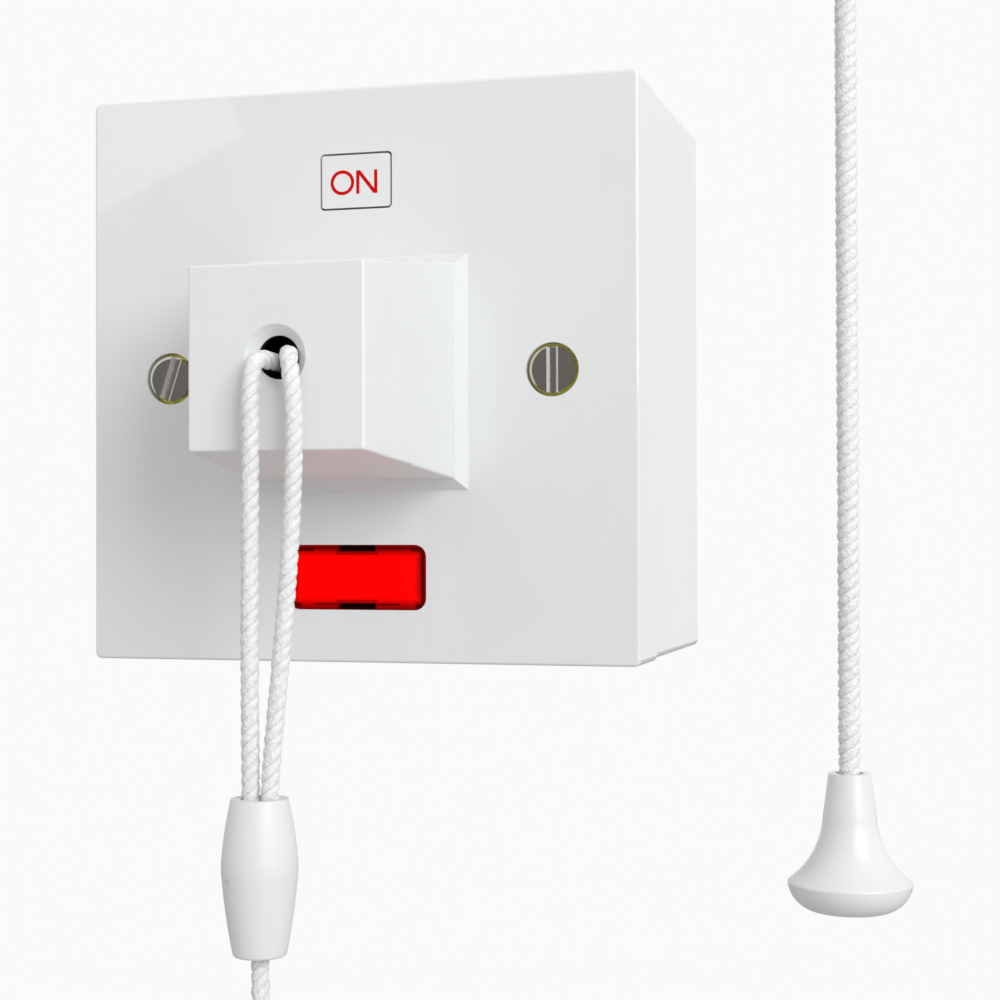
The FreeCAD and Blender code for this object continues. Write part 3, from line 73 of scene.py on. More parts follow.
# Finishes
# A finish is a tree of shader nodes, written as sums on its sockets.
class Line:
    """One socket of a finish; sums on lines add Math nodes"""

    def __init__(self, socket):
        self.socket = socket

    def add(self, kind, settings=(), inputs=(), out=0):
        tree = self.socket.id_data
        made = tree.nodes.new("ShaderNode" + kind)
        for name, value in dict(settings).items():
            setattr(made, name, value)
        for name, value in dict(inputs).items():
            if isinstance(value, Line):
                tree.links.new(value.socket, made.inputs[name])
            else:
                made.inputs[name].default_value = value
        return Line(made.outputs[out])

    def maths(self, operation, *values):
        return self.add("Math", {"operation": operation}, dict(enumerate(values)))

    def __add__(self, other):
        return self.maths("ADD", self, other)

    def __sub__(self, other):
        return self.maths("SUBTRACT", self, other)

    def __rsub__(self, other):
        return self.maths("SUBTRACT", other, self)

    def __mul__(self, other):
        return self.maths("MULTIPLY", self, other)

    def __truediv__(self, other):
        return self.maths("DIVIDE", self, other)

    def __abs__(self):
        return self.maths("ABSOLUTE", self)

    def __or__(self, other):
        return self.maths("MAXIMUM", self, other)

    def __and__(self, other):
        return self.maths("MINIMUM", self, other)

    __radd__ = __add__
    __rmul__ = __mul__

    def span(self, other):
        """the length whose two sides are this and other"""
        squares = self * self + other * other
        return squares.maths("SQRT", squares)

    def rise(self, low, high):
        """0 below low, 1 above high, smooth between"""
        return self.add("MapRange", {"interpolation_type": "SMOOTHSTEP"},
                        {"Value": self, "From Min": low, "From Max": high})

    def mix(self, low, high):
        """the colour low where this is 0, high where it is 1"""
        return self.add("Mix", {"data_type": "RGBA"}, {0: self, 6: low, 7: high}, 2)

    def relief(self, height, normal=None):
        """a bump of this line, height metres for each 1"""
        inputs = {"Strength": 1.0, "Distance": height, "Height": self}
        if normal is not None:
            inputs["Normal"] = normal
        return self.add("Bump", {}, inputs)


class Finish:
    """A material with its shader, and the place on the object in millimetres"""

    def __init__(self, name, constants):
        self.material = bpy.data.materials.new(name)
        self.material.use_nodes = True
        self.shader = self.material.node_tree.nodes["Principled BSDF"]
        for socket, value in constants.items():
            self.shader.inputs[socket].default_value = value
        self.where = self.material.node_tree.nodes.new("ShaderNodeTexCoord")
        self.place = Line(self.where.outputs["Object"]).add(
            "VectorMath", {"operation": "SCALE"}, {0: Line(self.where.outputs["Object"]), "Scale": 1000.0})
        split = self.place.add("SeparateXYZ", {}, {0: self.place}).socket.node
        self.x, self.y, self.z = [Line(out) for out in split.outputs]

    def grain(self, scale, detail=2.0, stretch=(1.0, 1.0, 1.0), where=None):
        """soft noise, scale features a millimetre, about 0.5"""
        base = where or self.place
        stretched = base.add("VectorMath", {"operation": "MULTIPLY"}, {0: base, 1: stretch})
        return base.add("TexNoise", {}, {"Vector": stretched, "Scale": scale, "Detail": detail})

    def feed(self, socket, line):
        self.material.node_tree.links.new(line.socket, self.shader.inputs[socket])

    def fed(self, socket):
        """the line that feeds a socket so far"""
        return Line(self.shader.inputs[socket].links[0].from_socket)


# Long cord
# White nylon cord, 2.4 mm, laid to the right from three soft strands. One piece, 1.5 m: from its knot in the
# connector down into a tied coil, and from there round to the bell. The fitter cuts it to length.
nylon = Finish("nylon_cord", {"Roughness": 0.8, "Sheen Weight": 0.3, "Sheen Roughness": 0.5,
                              "Subsurface Weight": 0.55, "Subsurface Radius": (1.0, 1.0, 1.0),
                              "Subsurface Scale": 0.0009, "Specular IOR Level": 0.2})
lay_place = Line(nylon.where.outputs["UV"])
lay_split = lay_place.add("SeparateXYZ", {}, {0: lay_place}).socket.node
across, along = Line(lay_split.outputs[0]), Line(lay_split.outputs[1])
# the grooves between the strands are painted darker, painted shade that is deeper in some grooves than in
# others
uneven = nylon.grain(0.35, 2.0).rise(0.38, 0.62)
groove_painted_shade = 1.0 - abs((across.maths("FRACT", across) - 0.5) * 2.0).rise(0.78, 1.0) * (0.25 + uneven * 0.75)
fibre_place = across.add(
    "CombineXYZ", {}, {0: (across + along * 4.2) * 6.0, 1: (along - across) * 2.2, 2: 0.0})
fibres = nylon.grain(1.0, 3.0, where=fibre_place)
tufts = nylon.grain(1.4, 3.0)
pale = fibres.rise(0.25, 0.75).mix((0.86, 0.865, 0.865, 1), (0.95, 0.95, 0.95, 1))
pale = tufts.rise(0.3, 0.6).mix((0.80, 0.805, 0.81, 1), pale)
nylon.feed("Base Color", groove_painted_shade.mix((0.66, 0.665, 0.67, 1), pale))
nylon.feed("Roughness", 0.72 + fibres * 0.2)
nylon.feed("Normal", (fibres * 0.9 + tufts * 1.1).relief(0.00026))


def drawn_line(name, route):
    """the smooth line that a cord takes through its route's points"""
    curve = bpy.data.curves.new(name, "CURVE")
    curve.dimensions = "3D"
    curve.resolution_u = 12
    spline = curve.splines.new("NURBS")
    spline.points.add(len(route) - 1)
    for point, place in zip(spline.points, route):
        point.co = (*place, 1.0)
    spline.order_u = 3
    spline.use_endpoint_u = True
    holder = bpy.data.objects.new(name, curve)
    bpy.context.scene.collection.objects.link(holder)
    bpy.context.view_layer.update()
    mesh = bpy.data.meshes.new_from_object(holder)
    line = [v.co.copy() for v in mesh.vertices]
    bpy.data.objects.remove(holder)
    bpy.data.meshes.remove(mesh)
    return line


def laid_cord(name, line, radius, lay, step, crumple=0.06):
    """three strands laid to the right about a line, as one closed skin

    lay gives the pitch from what is left to the end, and crumple how uneven the strands are
    """
    spans = [(b - a).length for a, b in zip(line, line[1:])]
    total = sum(spans)
    count = max(8, round(total / step))
    strand_centre, strand_radius, sides = radius * 0.24, radius * 0.76, 24
    profile = []
    for k in range(sides):
        turn = math.radians(k * 360 / sides % 120 - 60)
        profile.append(strand_centre * math.cos(turn)
                       + math.sqrt(strand_radius ** 2 - (strand_centre * math.sin(turn)) ** 2))
    verts, index, passed = [], 0, 0.0
    normal = (line[1] - line[0]).orthogonal().normalized()
    turned, rings = 0.0, []
    for ring in range(count + 1):
        goal = total * ring / count
        while index < len(spans) - 1 and passed + spans[index] < goal:
            passed += spans[index]
            index += 1
        share = min(1.0, (goal - passed) / spans[index])
        spot = line[index].lerp(line[index + 1], share)
        before = line[index] - line[max(index - 1, 0)] if index else line[1] - line[0]
        after = line[index + 1] - line[index]
        ahead = line[min(index + 2, len(line) - 1)] - line[index + 1]
        start_way = (before.normalized() + after.normalized()).normalized()
        end_way = after.normalized()
        if ahead.length > 1e-9:
            end_way = (end_way + ahead.normalized()).normalized()
        way = start_way.lerp(end_way, share).normalized()
        normal = (normal - way * normal.dot(way)).normalized()
        side = way.cross(normal)
        rings.append(turned)
        for k in range(sides):
            angle = math.tau * (k / sides + turned)
            out = normal * math.cos(angle) + side * math.sin(angle)
            reach = profile[k]
            at = (spot + out * reach) * 1000
            swell = noise.noise(at * 1.1) + 0.6 * noise.noise(at * 2.7)
            verts.append(spot + out * reach * (1 + crumple * swell))
        turned += total / count / lay(total - goal)
    faces, uvs = [], []
    for r in range(count):
        for k in range(sides):
            this_ring, next_ring, beside = r * sides, (r + 1) * sides, (k + 1) % sides
            faces.append((this_ring + k, this_ring + beside, next_ring + beside, next_ring + k))
            u0, u1 = k * 3 / sides, (k + 1) * 3 / sides
            uvs += [(u0, rings[r]), (u1, rings[r]), (u1, rings[r + 1]), (u0, rings[r + 1])]
    faces += [tuple(range(sides))[::-1], tuple(count * sides + k for k in range(sides))]
    uvs += [(0.5, 0.0)] * (2 * sides)
    mesh = bpy.data.meshes.new(name)
    mesh.from_pydata(verts, [], faces)
    layer = mesh.uv_layers.new(name="lay")
    layer.data.foreach_set("uv", [n for pair in uvs for n in pair])
    mesh.shade_smooth()
    mesh.materials.append(nylon.material)
    piece = bpy.data.objects.new(name, mesh)
    bpy.context.scene.collection.objects.link(piece)
    return piece


cord_radius = 0.00125
coil_middle = Vector((-0.0008, -0.0845, -0.1105))
turns = 12
per_turn = 16
ring_radius = 0.014
# how the twelve turns lie in the bundle: three in its core and nine round them
lie = [(0.001386, a) for a in (0, 120, 240)] + [(0.003635, 60 + 40 * k) for k in range(9)]
lie = [(far * math.cos(math.radians(a)), far * math.sin(math.radians(a))) for far, a in lie]
route = [(-0.0008, -0.0845, -0.065857), (-0.0008, -0.0845, -0.0782), (-0.0006, -0.0845, -0.0904),
         (-0.0008, -0.0845, -0.0955)]
for step in range(1, turns * per_turn):
    turn, part = divmod(step, per_turn)
    out, back = lie[turn]
    if part == 0:
        out, back = (out + lie[turn - 1][0]) / 2, (back + lie[turn - 1][1]) / 2
    angle = math.tau * step / per_turn
    wide = (ring_radius + out) / math.cos(math.pi / per_turn)
    route.append((coil_middle.x + wide * math.sin(angle), coil_middle.y + back,
                  coil_middle.z + wide * math.cos(angle)))
# the last length goes a little over twice round the bundle to tie it
tie_radius = 0.0061 / math.cos(math.radians(22.5))
for step in range(19):
    angle = math.radians(45 * step)
    level = step / 8
    over = -0.0054 + 0.0024 * level if level < 1 else -0.0030 + 0.0044 * (level - 1)
    route.append((over, coil_middle.y - tie_radius * math.sin(angle), coil_middle.z + ring_radius
                  + tie_radius * math.cos(angle)))
route += [(0.0042, -0.0910, -0.1022), (0.0120, -0.0914, -0.1062), (0.0260, -0.0916, -0.1076),
          (0.0480, -0.0935, -0.1072), (0.0760, -0.0985, -0.1025), (0.0962, -0.1040, -0.0820),
          (0.0998, -0.1064, -0.0500), (0.0982, -0.1078, -0.0140), (0.0994, -0.1070, 0.0220),
          (0.0990, -0.1074, 0.0480), (0.0781, -0.1074, 0.0480), (0.0781, -0.1074, 0.0271),
          (0.0781, -0.1074, -0.060298)]
long_line = drawn_line("long_line", route)
long_cord = laid_cord("long_cord", long_line, cord_radius,
                      lambda left: 0.0037 + 0.0013 * min(1, max(0, (left - 0.11) / 0.03)), 0.0005)
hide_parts("cord_tail", "cord_coil", "cord_lead")
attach(long_cord, "pull_cord")


# Loop
# A short length of the same cord. It goes round the pin inside the boss and hangs down to the connector,
# where its two ends are knotted.
loop_line = drawn_line("loop_line", [
    (-0.00203, -0.0845, -0.065857), (-0.00203, -0.0845, -0.0584), (-0.00235, -0.0841, -0.0460),
    (-0.0026, -0.0835, -0.0280), (-0.0025, -0.0834, -0.0120), (-0.0026, -0.0836, -0.0040),
    (-0.0023, -0.0822, -0.0001), (-0.00115, -0.0787, -0.0005), (-0.0016, -0.0746, -0.0004),
    (-0.00245, -0.0706, 0.0), (-0.0024, -0.0664, 0.0), (0.0024, -0.0664, 0.0), (0.00245, -0.0706, 0.0),
    (0.0020, -0.0746, 0.0001), (0.00125, -0.0787, 0.0002), (0.0023, -0.0821, 0.0004),
    (0.0035, -0.0836, -0.0035), (0.0038, -0.0834, -0.0120), (0.0030, -0.0835, -0.0280),
    (0.0015, -0.0841, -0.0460), (0.00043, -0.0845, -0.0584), (0.00043, -0.0845, -0.065857)])
loop_cord = laid_cord("loop_cord", loop_line, cord_radius, lambda left: 0.0050, 0.0004)
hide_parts("cord_loop")
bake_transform(loop_cord)


# Knots
# Overhand knots pulled tight: one hidden in the connector, one under the bell that keeps it on its cord.
def tight_knot(name, node, scale, tail):
    low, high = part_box(node)
    middle = (low + high) / 2
    k = scale * 0.00066
    path = []
    for step in range(25):
        t = math.tau * (step / 24 + 0.02)
        path.append((middle.x + k * (math.sin(t) + 2 * math.sin(2 * t)),
                     middle.y + k * (math.cos(t) - 2 * math.cos(2 * t)),
                     middle.z - 1.9 * k * math.sin(3 * t)))
    path += [(middle.x + 0.0004, middle.y, middle.z - 0.0010), (middle.x, middle.y, middle.z - tail)]
    knot = laid_cord(name, drawn_line(name + "_line", path), 0.00098 * scale, lambda left: 0.0042, 0.0004)
    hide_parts(node)
    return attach(knot, "pull_cord")


tight_knot("connector_knot", "loop_knot", 0.94, 0.0026)
bell_stop_knot = tight_knot("bell_stop_knot", "bell_knot", 1.0, 0.0029)


# Box, plate, connector and bell
# Glossy white urea moulding: the surface box, the ON tile, the lamp's tray, and the square front plate with
# its boss. The connector and the bell are turned pieces in a slightly darker white, with a softer polish.
def moulding(name, tone, roughness, peel, constants=()):
    made = Finish(name, {"Base Color": (*tone, 1), "IOR": 1.5, **dict(constants)})
    clouds = made.grain(0.06, 3.0)
    made.feed("Base Color", clouds.rise(0.3, 0.7).mix((*[t * 0.985 for t in tone], 1), (*tone, 1)))
    made.feed("Roughness", roughness * (0.7 + 0.6 * made.grain(0.5, 3.0)))
    made.feed("Normal", made.grain(0.8, 1.0).relief(peel))
    return made


def dress(material, *names):
    """gives CAD nodes their finish"""
    for name in names:
        mesh = nodes[name].data
        if not mesh.materials:
            mesh.materials.append(material)
        for slot in nodes[name].material_slots:
            slot.material = material


white = (0.83, 0.84, 0.835)
gloss_white = moulding("gloss_white_moulding", white, 0.03, 0.0000003)
dress(gloss_white.material, "pattress_box", "on_indicator", "lamp_tray")
polished_white = moulding("polished_white_moulding", (0.785, 0.795, 0.79), 0.27, 0.0000006)
dress(polished_white.material, "bell_pull")
satin_white = moulding("satin_white_moulding", (0.79, 0.80, 0.795), 0.42, 0.000001)
dress(satin_white.material, "cord_connector")
# the connector's outside bulges above and below a 14 mm round at its waist, and its shading follows that
aside, ahead, rise = satin_white.x + 0.8, satin_white.y + 84.5, satin_white.z + 67.4
girth = aside.span(ahead)
lean = (((rise / 14.0 | -0.086) & 0.086) + ((rise - 1.2) | 0.0) * 0.0171 + ((rise + 1.2) & 0.0) * 0.0105)
turned_way = girth.add("CombineXYZ", {}, {0: aside, 1: ahead, 2: girth * lean})
turned_way = girth.add("VectorMath", {"operation": "NORMALIZE"}, {0: turned_way})
outside = (9.3 - abs(rise + 1.0)).rise(0.0, 0.4) * (girth - 3.4).rise(0.0, 0.1)
satin_white.feed("Normal", outside.mix(satin_white.fed("Normal"), turned_way))

# the plate is the same white; inside its boss and down its bore it is painted near black, painted shade so
# that nothing shows through its mouth
plate_white = moulding("plate_white_moulding", white, 0.03, 0.0000003)
hollow_half, hollow_front, hollow_back, bore_radius, bore_front = 10.4, 78.62, 47.5, 3.05, 79.5
painted_hollow_shade = ((hollow_half - (abs(plate_white.x) | abs(plate_white.z))).rise(0.0, 0.1)
          * (plate_white.y + hollow_front).rise(0.0, 0.1) * (-hollow_back - plate_white.y).rise(0.0, 0.2))
from_axis = plate_white.x.span(plate_white.z)
painted_hollow_shade = painted_hollow_shade | (bore_radius - from_axis).rise(0.0, 0.05) * (plate_white.y + bore_front).rise(0.0, 0.08)
plate_white.feed("Base Color", painted_hollow_shade.mix(plate_white.fed("Base Color"), (0.012, 0.012, 0.012, 1)))
# the boss's walls have a softer polish than the plate's face
boss_foot = 50.5
softer = (-boss_foot - plate_white.y).rise(0.0, 1.0) * 0.3
plate_white.feed("Roughness", plate_white.fed("Roughness") + softer)
dress(plate_white.material, "front_plate")


# Fixing screws
# Two slotted screws with rounded rims, nickel plated and bright, in brass eyelets that line the plate's
# holes; the box holds brass inserts for them.
nickel = Finish("nickel_plate", {"Base Color": (0.60, 0.585, 0.56, 1), "Metallic": 1.0})
turning = nickel.grain(3.0, 3.0, (1.0, 0.15, 1.0))
nickel.feed("Base Color", turning.rise(0.2, 0.8).mix((0.52, 0.50, 0.47, 1), (0.66, 0.645, 0.62, 1)))
nickel.feed("Roughness", 0.10 + turning * 0.08)
# the heads' rims are rounded, which shows as a bright crescent at their upper left
screw_at, head_reach, slot_half, bevel_wide, left_slot_lean = 30.15, 3.0, 0.43, 0.45, math.radians(18)
off_centre = (abs(nickel.x) - screw_at) * nickel.x.maths("SIGN", nickel.x)
past_rim = (off_centre.span(nickel.z) - head_reach) | 0.0
rounding = past_rim * past_rim * (nickel.z * 0.55 - off_centre * 0.85).rise(0.3, 2.0) * -0.62
# the slot's right bevel is painted pale and matt, a painted highlight where it faces the light
left_one = (0.0 - nickel.x).rise(0.0, 1.0)
beside = off_centre - left_one * (off_centre * (1 - math.cos(left_slot_lean))
                                  + nickel.z * math.sin(left_slot_lean))
painted_bevel_highlight = (beside - slot_half).rise(0.0, 0.04) * (slot_half + bevel_wide - beside).rise(0.0, 0.04)
nickel.feed("Base Color", painted_bevel_highlight.mix(nickel.fed("Base Color"), (0.88, 0.87, 0.86, 1)))
nickel.feed("Metallic", 1.0 - painted_bevel_highlight * 0.9)
nickel.feed("Normal", (turning * 0.002 + rounding).relief(0.001))
dress(nickel.material, "fixing_screws")

brass = Finish("bright_brass", {"Base Color": (0.80, 0.76, 0.20, 1), "Metallic": 1.0})
drawn = brass.grain(2.0, 3.0, (1.0, 0.2, 1.0))
brass.feed("Base Color", drawn.rise(0.2, 0.8).mix((0.70, 0.68, 0.13, 1), (0.86, 0.84, 0.22, 1)))
brass.feed("Roughness", 0.20 + drawn * 0.12)
brass.feed("Normal", drawn.relief(0.000003))
dress(brass.material, "screw_eyelets", "box_inserts", "bridge_contacts", "contact_strips", "terminals",
      "earth_terminal")


# ON indicator
# The white tile fills a window above the boss. Its word is printed in red, in thin round capitals.
def printed(name, outlines, depth, material, body):
    """flat letters as thin prisms of ink, from loops of (x, z) points; an inner loop makes a hole"""
    verts, faces = [], []
    front, rear = depth - 0.00002, depth + 0.00001
    for outer, inner in outlines:
        start, size, loops = len(verts), len(outer), [outer] + ([inner] if inner else [])
        for y in (front, rear):
            verts += [(x, y, z) for loop in loops for x, z in loop]
        back = size * len(loops)
        for k in range(size):
            a, b = start + k, start + (k + 1) % size
            faces.append((b, a, a + back, b + back))
            if inner:
                c, d = b + size, a + size
                faces += [(a, b, c, d), (d + back, c + back, b + back, a + back), (d, c, c + back, d + back)]
        if not inner:
            faces += [tuple(range(start, start + size)),
                      tuple(range(start + 2 * size - 1, start + size - 1, -1))]
    mesh = bpy.data.meshes.new(name)
    mesh.from_pydata(verts, [], faces)
    mesh.materials.append(material)
    piece = bpy.data.objects.new(name, mesh)
    bpy.context.scene.collection.objects.link(piece)
    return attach(piece, body)


ink = Finish("red_print", {"Roughness": 0.3, "Specular IOR Level": 0.1})
ink.feed("Base Color", ink.grain(2.5, 2.0).rise(0.2, 0.8).mix((0.60, 0.0, 0.0, 1), (0.66, 0.0, 0.001, 1)))
ink.feed("Roughness", 0.25 + ink.grain(4.0) * 0.15)
tile_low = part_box("on_indicator")[0]
stroke = 0.0005
o_middle, o_wide, o_tall = (-0.00215, 0.02873), 0.00188, 0.00186
turns_of_o = [math.tau * k / 64 for k in range(64)]
letter_o = [[(o_middle[0] + (o_wide - inset) * math.cos(a), o_middle[1] + (o_tall - inset) * math.sin(a))
             for a in turns_of_o] for inset in (0.0, stroke)]
left, right, low, high, slant = 0.00005, 0.00338, 0.02696, 0.03047, 0.00062
rung = stroke * (high - low) / (right - left - slant)
letter_n = ([(left, low), (left, high), (left + slant, high), (right - stroke, low + rung + 0.00006),
             (right - stroke, high), (right, high), (right, low), (right - slant, low),
             (left + stroke, high - rung - 0.00006), (left + stroke, low)], None)
printed("on_word", [letter_o, letter_n], tile_low.y, ink.material, "indicator")


# Neon indicator
# A clear red lens with a bevelled inner edge over a small neon lamp in a white tray. The lens's glow is
# painted on it as emission in place of the neon's light, with painted shade at its rim, its bevel and round
# its clips. Two black clips show in the notches of its long sides.
lens = Finish("red_lens", {"Roughness": 0.08, "Specular IOR Level": 0.08, "Emission Strength": 1.0})
lens_low, lens_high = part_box("neon_lens")
lens_level = (lens_low.z + lens_high.z) / 2 * 1000
up = lens.z - lens_level
# distance in from the rounded rim
half_x, half_z, corner = 10.85, 4.85, 1.8
off_x, off_z = abs(lens.x) - (half_x - corner), abs(up) - (half_z - corner)
reach_x, reach_z = off_x | 0.0, off_z | 0.0
inward = corner - (reach_x.span(reach_z) + ((off_x | off_z) & 0.0))
glow = inward.rise(0.2, 2.1)
rim = (0.3 - inward).rise(-0.08, 0.08)
# the bevel's glow is painted brighter along its lowest part than above it, with a faint painted line at the
# rim
bevel_painted_glow = (up + 2.5).rise(-0.5, 0.5).mix((0.22, 0.0, 0.0, 1), (0.04, 0.0, 0.0, 1))
rim_painted_glow = rim.mix(bevel_painted_glow, (0.18, 0.0, 0.0, 1))
lit = glow.mix(rim_painted_glow, (1.0, 0.0, 0.0, 1))


def streak(x0, x1, z0, z1, soft=0.12):
    """1 inside a box on the lens's face, soft at its edges"""
    return ((lens.x - x0).rise(-soft, soft) * (x1 - lens.x).rise(-soft, soft)
            * (up - z0).rise(-soft, soft) * (z1 - up).rise(-soft, soft))


notch = streak(-2.95, 2.95, 3.85, 5.2, 0.03) | streak(-2.95, 2.95, -5.2, -3.85, 0.03)
# round the clips and in streaks at the lens's ends the glow is painted dimmer: painted shade
frames = streak(-3.35, 3.35, 3.35, 5.2, 0.06) | streak(-3.35, 3.35, -5.2, -3.35, 0.06)
dark = (streak(10.05, 10.5, -4.2, 3.9) | streak(-10.3, -9.8, -4.2, 3.9)
        | streak(8.6, 10.1, 3.8, 4.4, 0.22) | streak(-9.6, -6.8, 3.9, 4.3, 0.15)
        | streak(3.2, 9.4, 4.15, 4.35, 0.1) | streak(-6.6, -3.4, -4.1, -3.85)
        | streak(3.2, 6.8, -4.15, -3.85) | streak(9.2, 10.2, -4.6, -3.8, 0.25)
        | streak(-10.2, -8.8, -4.5, -3.8, 0.25))
lit = (dark * 0.92).mix(lit, (0.02, 0.0, 0.0, 1))
lit = (frames * 0.6).mix(lit, (0.12, 0.0, 0.0, 1))
lit = notch.mix(lit, (0.004, 0.0, 0.0, 1))
inner = (-46.6 - lens.y).rise(-0.2, 0.2)
# its middle glows more than a picture can show, and tints the white round it
lit = (inward.rise(2.6, 4.2) * (1.0 - frames)).mix(lit, (5.0, 0.0, 0.0, 1))
lens.feed("Emission Color", inner.mix((0.20, 0.0, 0.0, 1), lit))
lens.feed("Base Color", notch.mix((0.05, 0.0, 0.0, 1), (0.004, 0.0, 0.0, 1)))
lens.feed("Roughness", 0.07 + lens.grain(1.0) * 0.06)
dress(lens.material, "neon_lens")

glass = Finish("lamp_glass", {"IOR": 1.45, "Transmission Weight": 0.8, "Emission Strength": 0.6})
ends = abs(glass.x).rise(2.0, 5.0)
glass.feed("Base Color", ends.mix((1.0, 0.62, 0.45, 1), (0.95, 0.93, 0.9, 1)))
glass.feed("Emission Color", ends.mix((1.0, 0.22, 0.05, 1), (0.1, 0.02, 0.01, 1)))
glass.feed("Roughness", 0.04 + glass.grain(1.5) * 0.05)
dress(glass.material, "neon_lamp")

lacquer = Finish("resistor_lacquer", {"IOR": 1.5})
bands = ((abs(lacquer.x + 8.0).rise(0.25, 0.3) & abs(lacquer.x + 7.0).rise(0.25, 0.3))
         & abs(lacquer.x + 5.2).rise(0.25, 0.3))
body_tone = lacquer.grain(1.2, 3.0).rise(0.3, 0.7).mix((0.50, 0.36, 0.20, 1), (0.62, 0.46, 0.28, 1))
lacquer.feed("Base Color", bands.mix((0.16, 0.03, 0.02, 1), body_tone))
lacquer.feed("Roughness", 0.35 + lacquer.grain(2.0) * 0.2)
dress(lacquer.material, "lamp_resistor")


# Mechanism
# A black case, cover and slide, and a grey rocker. Blued springs, steel pins and screws, brass contacts.
black = moulding("black_moulding", (0.018, 0.018, 0.018), 0.5, 0.000006, {"Specular IOR Level": 0.15})
dress(black.material, "mechanism_case", "mechanism_cover", "driver")
grey = moulding("grey_moulding", (0.30, 0.31, 0.33), 0.35, 0.000005)
dress(grey.material, "rocker")
steel = Finish("plain_steel", {"Base Color": (0.56, 0.56, 0.57, 1), "Metallic": 1.0})
wire_marks = steel.grain(4.0, 3.0, (0.3, 1.0, 0.3))
steel.feed("Base Color", wire_marks.rise(0.2, 0.8).mix((0.46, 0.46, 0.47, 1), (0.62, 0.62, 0.63, 1)))
steel.feed("Roughness", 0.22 + wire_marks * 0.15)
steel.feed("Normal", wire_marks.relief(0.000003))
dress(steel.material, "lamp_electrodes", "lamp_leads", "mechanism_screws", "driver_pin", "rocker_pin",
      "terminal_screws", "earth_screw")
blued = Finish("blued_spring_steel", {"Base Color": (0.03, 0.03, 0.035, 1), "Metallic": 1.0})
blued.feed("Base Color", blued.grain(3.0, 3.0).mix((0.02, 0.02, 0.022, 1), (0.05, 0.05, 0.06, 1)))
blued.feed("Roughness", 0.4 + blued.grain(5.0) * 0.2)
dress(blued.material, "return_spring", "toggle_spring")
# a copy of the return spring stands in for it, held with the switch
squeezed = bpy.data.objects.new("squeezed_spring", nodes["return_spring"].data.copy())
squeezed.matrix_world = nodes["return_spring"].matrix_world.copy()
bpy.context.scene.collection.objects.link(squeezed)
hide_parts("return_spring")
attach(squeezed, "switch")
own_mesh(squeezed)


# Studio
# A pale round floor under the switch that fades into the white backdrop, a soft box high on either side,
# and a dark cloth behind the camera that the metal mirrors.
floor_level, floor_reach = -0.2, 1.6
floor_mesh = bpy.data.meshes.new("floor")
circle_points = [(floor_reach * math.cos(math.tau * k / 96), floor_reach * math.sin(math.tau * k / 96), 0)
                 for k in range(96)]
floor_mesh.from_pydata(circle_points, [], [tuple(range(96))])
floor = bpy.data.objects.new("floor", floor_mesh)
floor.location = (0, -0.05, floor_level)
bpy.context.scene.collection.objects.link(floor)
paper = Finish("floor_paper",
               {"Base Color": (0.90, 0.90, 0.90, 1), "Roughness": 0.8, "Specular IOR Level": 0.2})
paper.feed("Base Color", paper.grain(0.2, 3.0).rise(0.3, 0.7).mix(
    (0.88, 0.88, 0.88, 1), (0.91, 0.91, 0.91, 1)))
tree = paper.material.node_tree
away = paper.x.span(paper.y)
backdrop = tree.nodes.new("ShaderNodeEmission")
backdrop.inputs["Color"].default_value = (0.956, 0.956, 0.956, 1)
path = Line(tree.nodes.new("ShaderNodeLightPath").outputs["Is Camera Ray"])
# what the lamps throw back up from the paper is kept to the level of the air
paper.feed("Base Color", path.mix((0.5, 0.5, 0.5, 1), paper.fed("Base Color")))
faded = away.rise(140.0, 330.0) * path
join = tree.nodes.new("ShaderNodeMixShader")
tree.links.new(faded.socket, join.inputs[0])
tree.links.new(paper.shader.outputs[0], join.inputs[1])
tree.links.new(backdrop.outputs[0], join.inputs[2])
tree.links.new(join.outputs[0], tree.nodes["Material Output"].inputs[0])
floor_mesh.materials.append(paper.material)


def soft_box(name, place, toward, size, power, tint=(1, 1, 1)):
    lamp = bpy.data.lights.new(name, "AREA")
    lamp.shape = "RECTANGLE"
    lamp.size, lamp.size_y = size
    lamp.energy = power
    lamp.color = tint
    box = bpy.data.objects.new(name, lamp)
    box.location = place
    box.rotation_euler = (Vector(toward) - Vector(place)).to_track_quat("-Z", "Y").to_euler()
    bpy.context.scene.collection.objects.link(box)
    return box


soft_box("key_box", (1.12, -1.06, 0.56), (0, -0.05, 0), (0.95, 0.95), 15.6, (0.96, 0.975, 1.0))
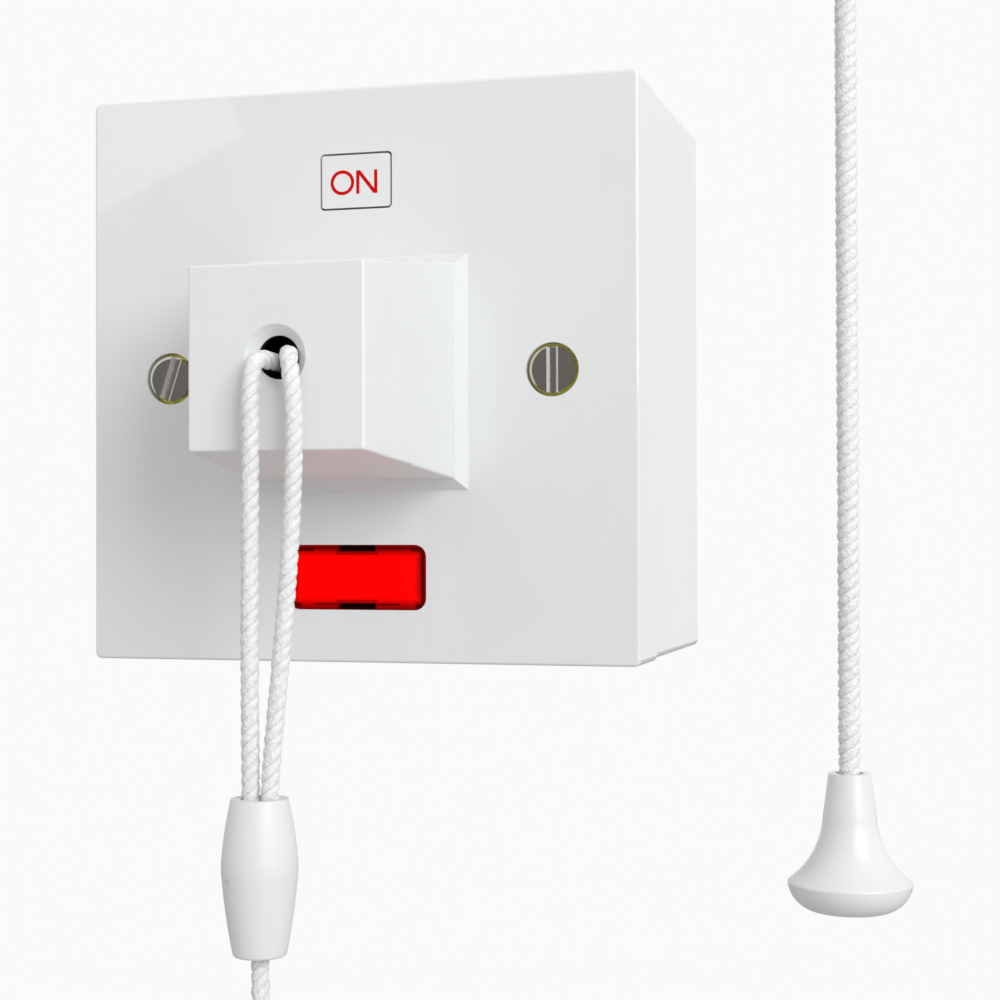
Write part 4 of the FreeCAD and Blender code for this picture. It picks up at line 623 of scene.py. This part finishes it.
# the box whose corner the plate mirrors at its upper left
window_side = 0.3
corner = Vector((-0.381, -0.9, 0.222))
lean_along, lean_aside = 0.911, 0.413
level_way, rise_way = Vector((-lean_along, 0, -lean_aside)), Vector((-lean_aside, 0, lean_along))
window = soft_box("window_box", corner + (level_way + rise_way) * window_side / 2, (0, 0, 0),
                  (window_side, window_side), 0.36)
window.matrix_world = Matrix((
    (-lean_along, lean_aside, 0, window.location.x), (0, 0, -1, window.location.y),
    (-lean_aside, -lean_along, 0, window.location.z), (0, 0, 0, 1)))

cloth_mesh = bpy.data.meshes.new("dark_cloth")
cloth_mesh.from_pydata([(-0.9, -0.97, -0.5), (0.35, -0.97, -0.5), (0.35, -0.97, 0.7), (-0.9, -0.97, 0.7)], [],
                       [(0, 1, 2, 3)])
cloth = bpy.data.objects.new("dark_cloth", cloth_mesh)
bpy.context.scene.collection.objects.link(cloth)
velvet = Finish("dark_velvet",
                {"Base Color": (0.02, 0.02, 0.02, 1), "Emission Strength": 1.0, "Roughness": 1.0})
velvet.feed("Emission Color", velvet.grain(0.004, 2.0).rise(0.3, 0.7).mix(
    (0.14, 0.13, 0.12, 1), (0.20, 0.19, 0.18, 1)))
cloth_mesh.materials.append(velvet.material)
cloth.visible_camera = False
cloth.visible_diffuse = False
cloth.visible_transmission = False
cloth.visible_shadow = False

world = bpy.data.worlds.new("studio")
world.use_nodes = True
bpy.context.scene.world = world
air = world.node_tree
ambient = air.nodes["Background"]
ambient.inputs["Color"].default_value = (1.0, 0.995, 0.985, 1)
ambient.inputs["Strength"].default_value = 0.645
white_air = air.nodes.new("ShaderNodeBackground")
white_air.inputs["Color"].default_value = (0.956, 0.956, 0.956, 1)
rays = air.nodes.new("ShaderNodeLightPath")
seen = Line(rays.outputs["Is Camera Ray"]) | Line(rays.outputs["Is Glossy Ray"]) | Line(
    rays.outputs["Is Transmission Ray"])
blend_air = air.nodes.new("ShaderNodeMixShader")
air.links.new(seen.socket, blend_air.inputs[0])
air.links.new(ambient.outputs[0], blend_air.inputs[1])
air.links.new(white_air.outputs[0], blend_air.inputs[2])
air.links.new(blend_air.outputs[0], air.nodes["World Output"].inputs[0])

bpy.context.scene.view_settings.view_transform = "Standard"
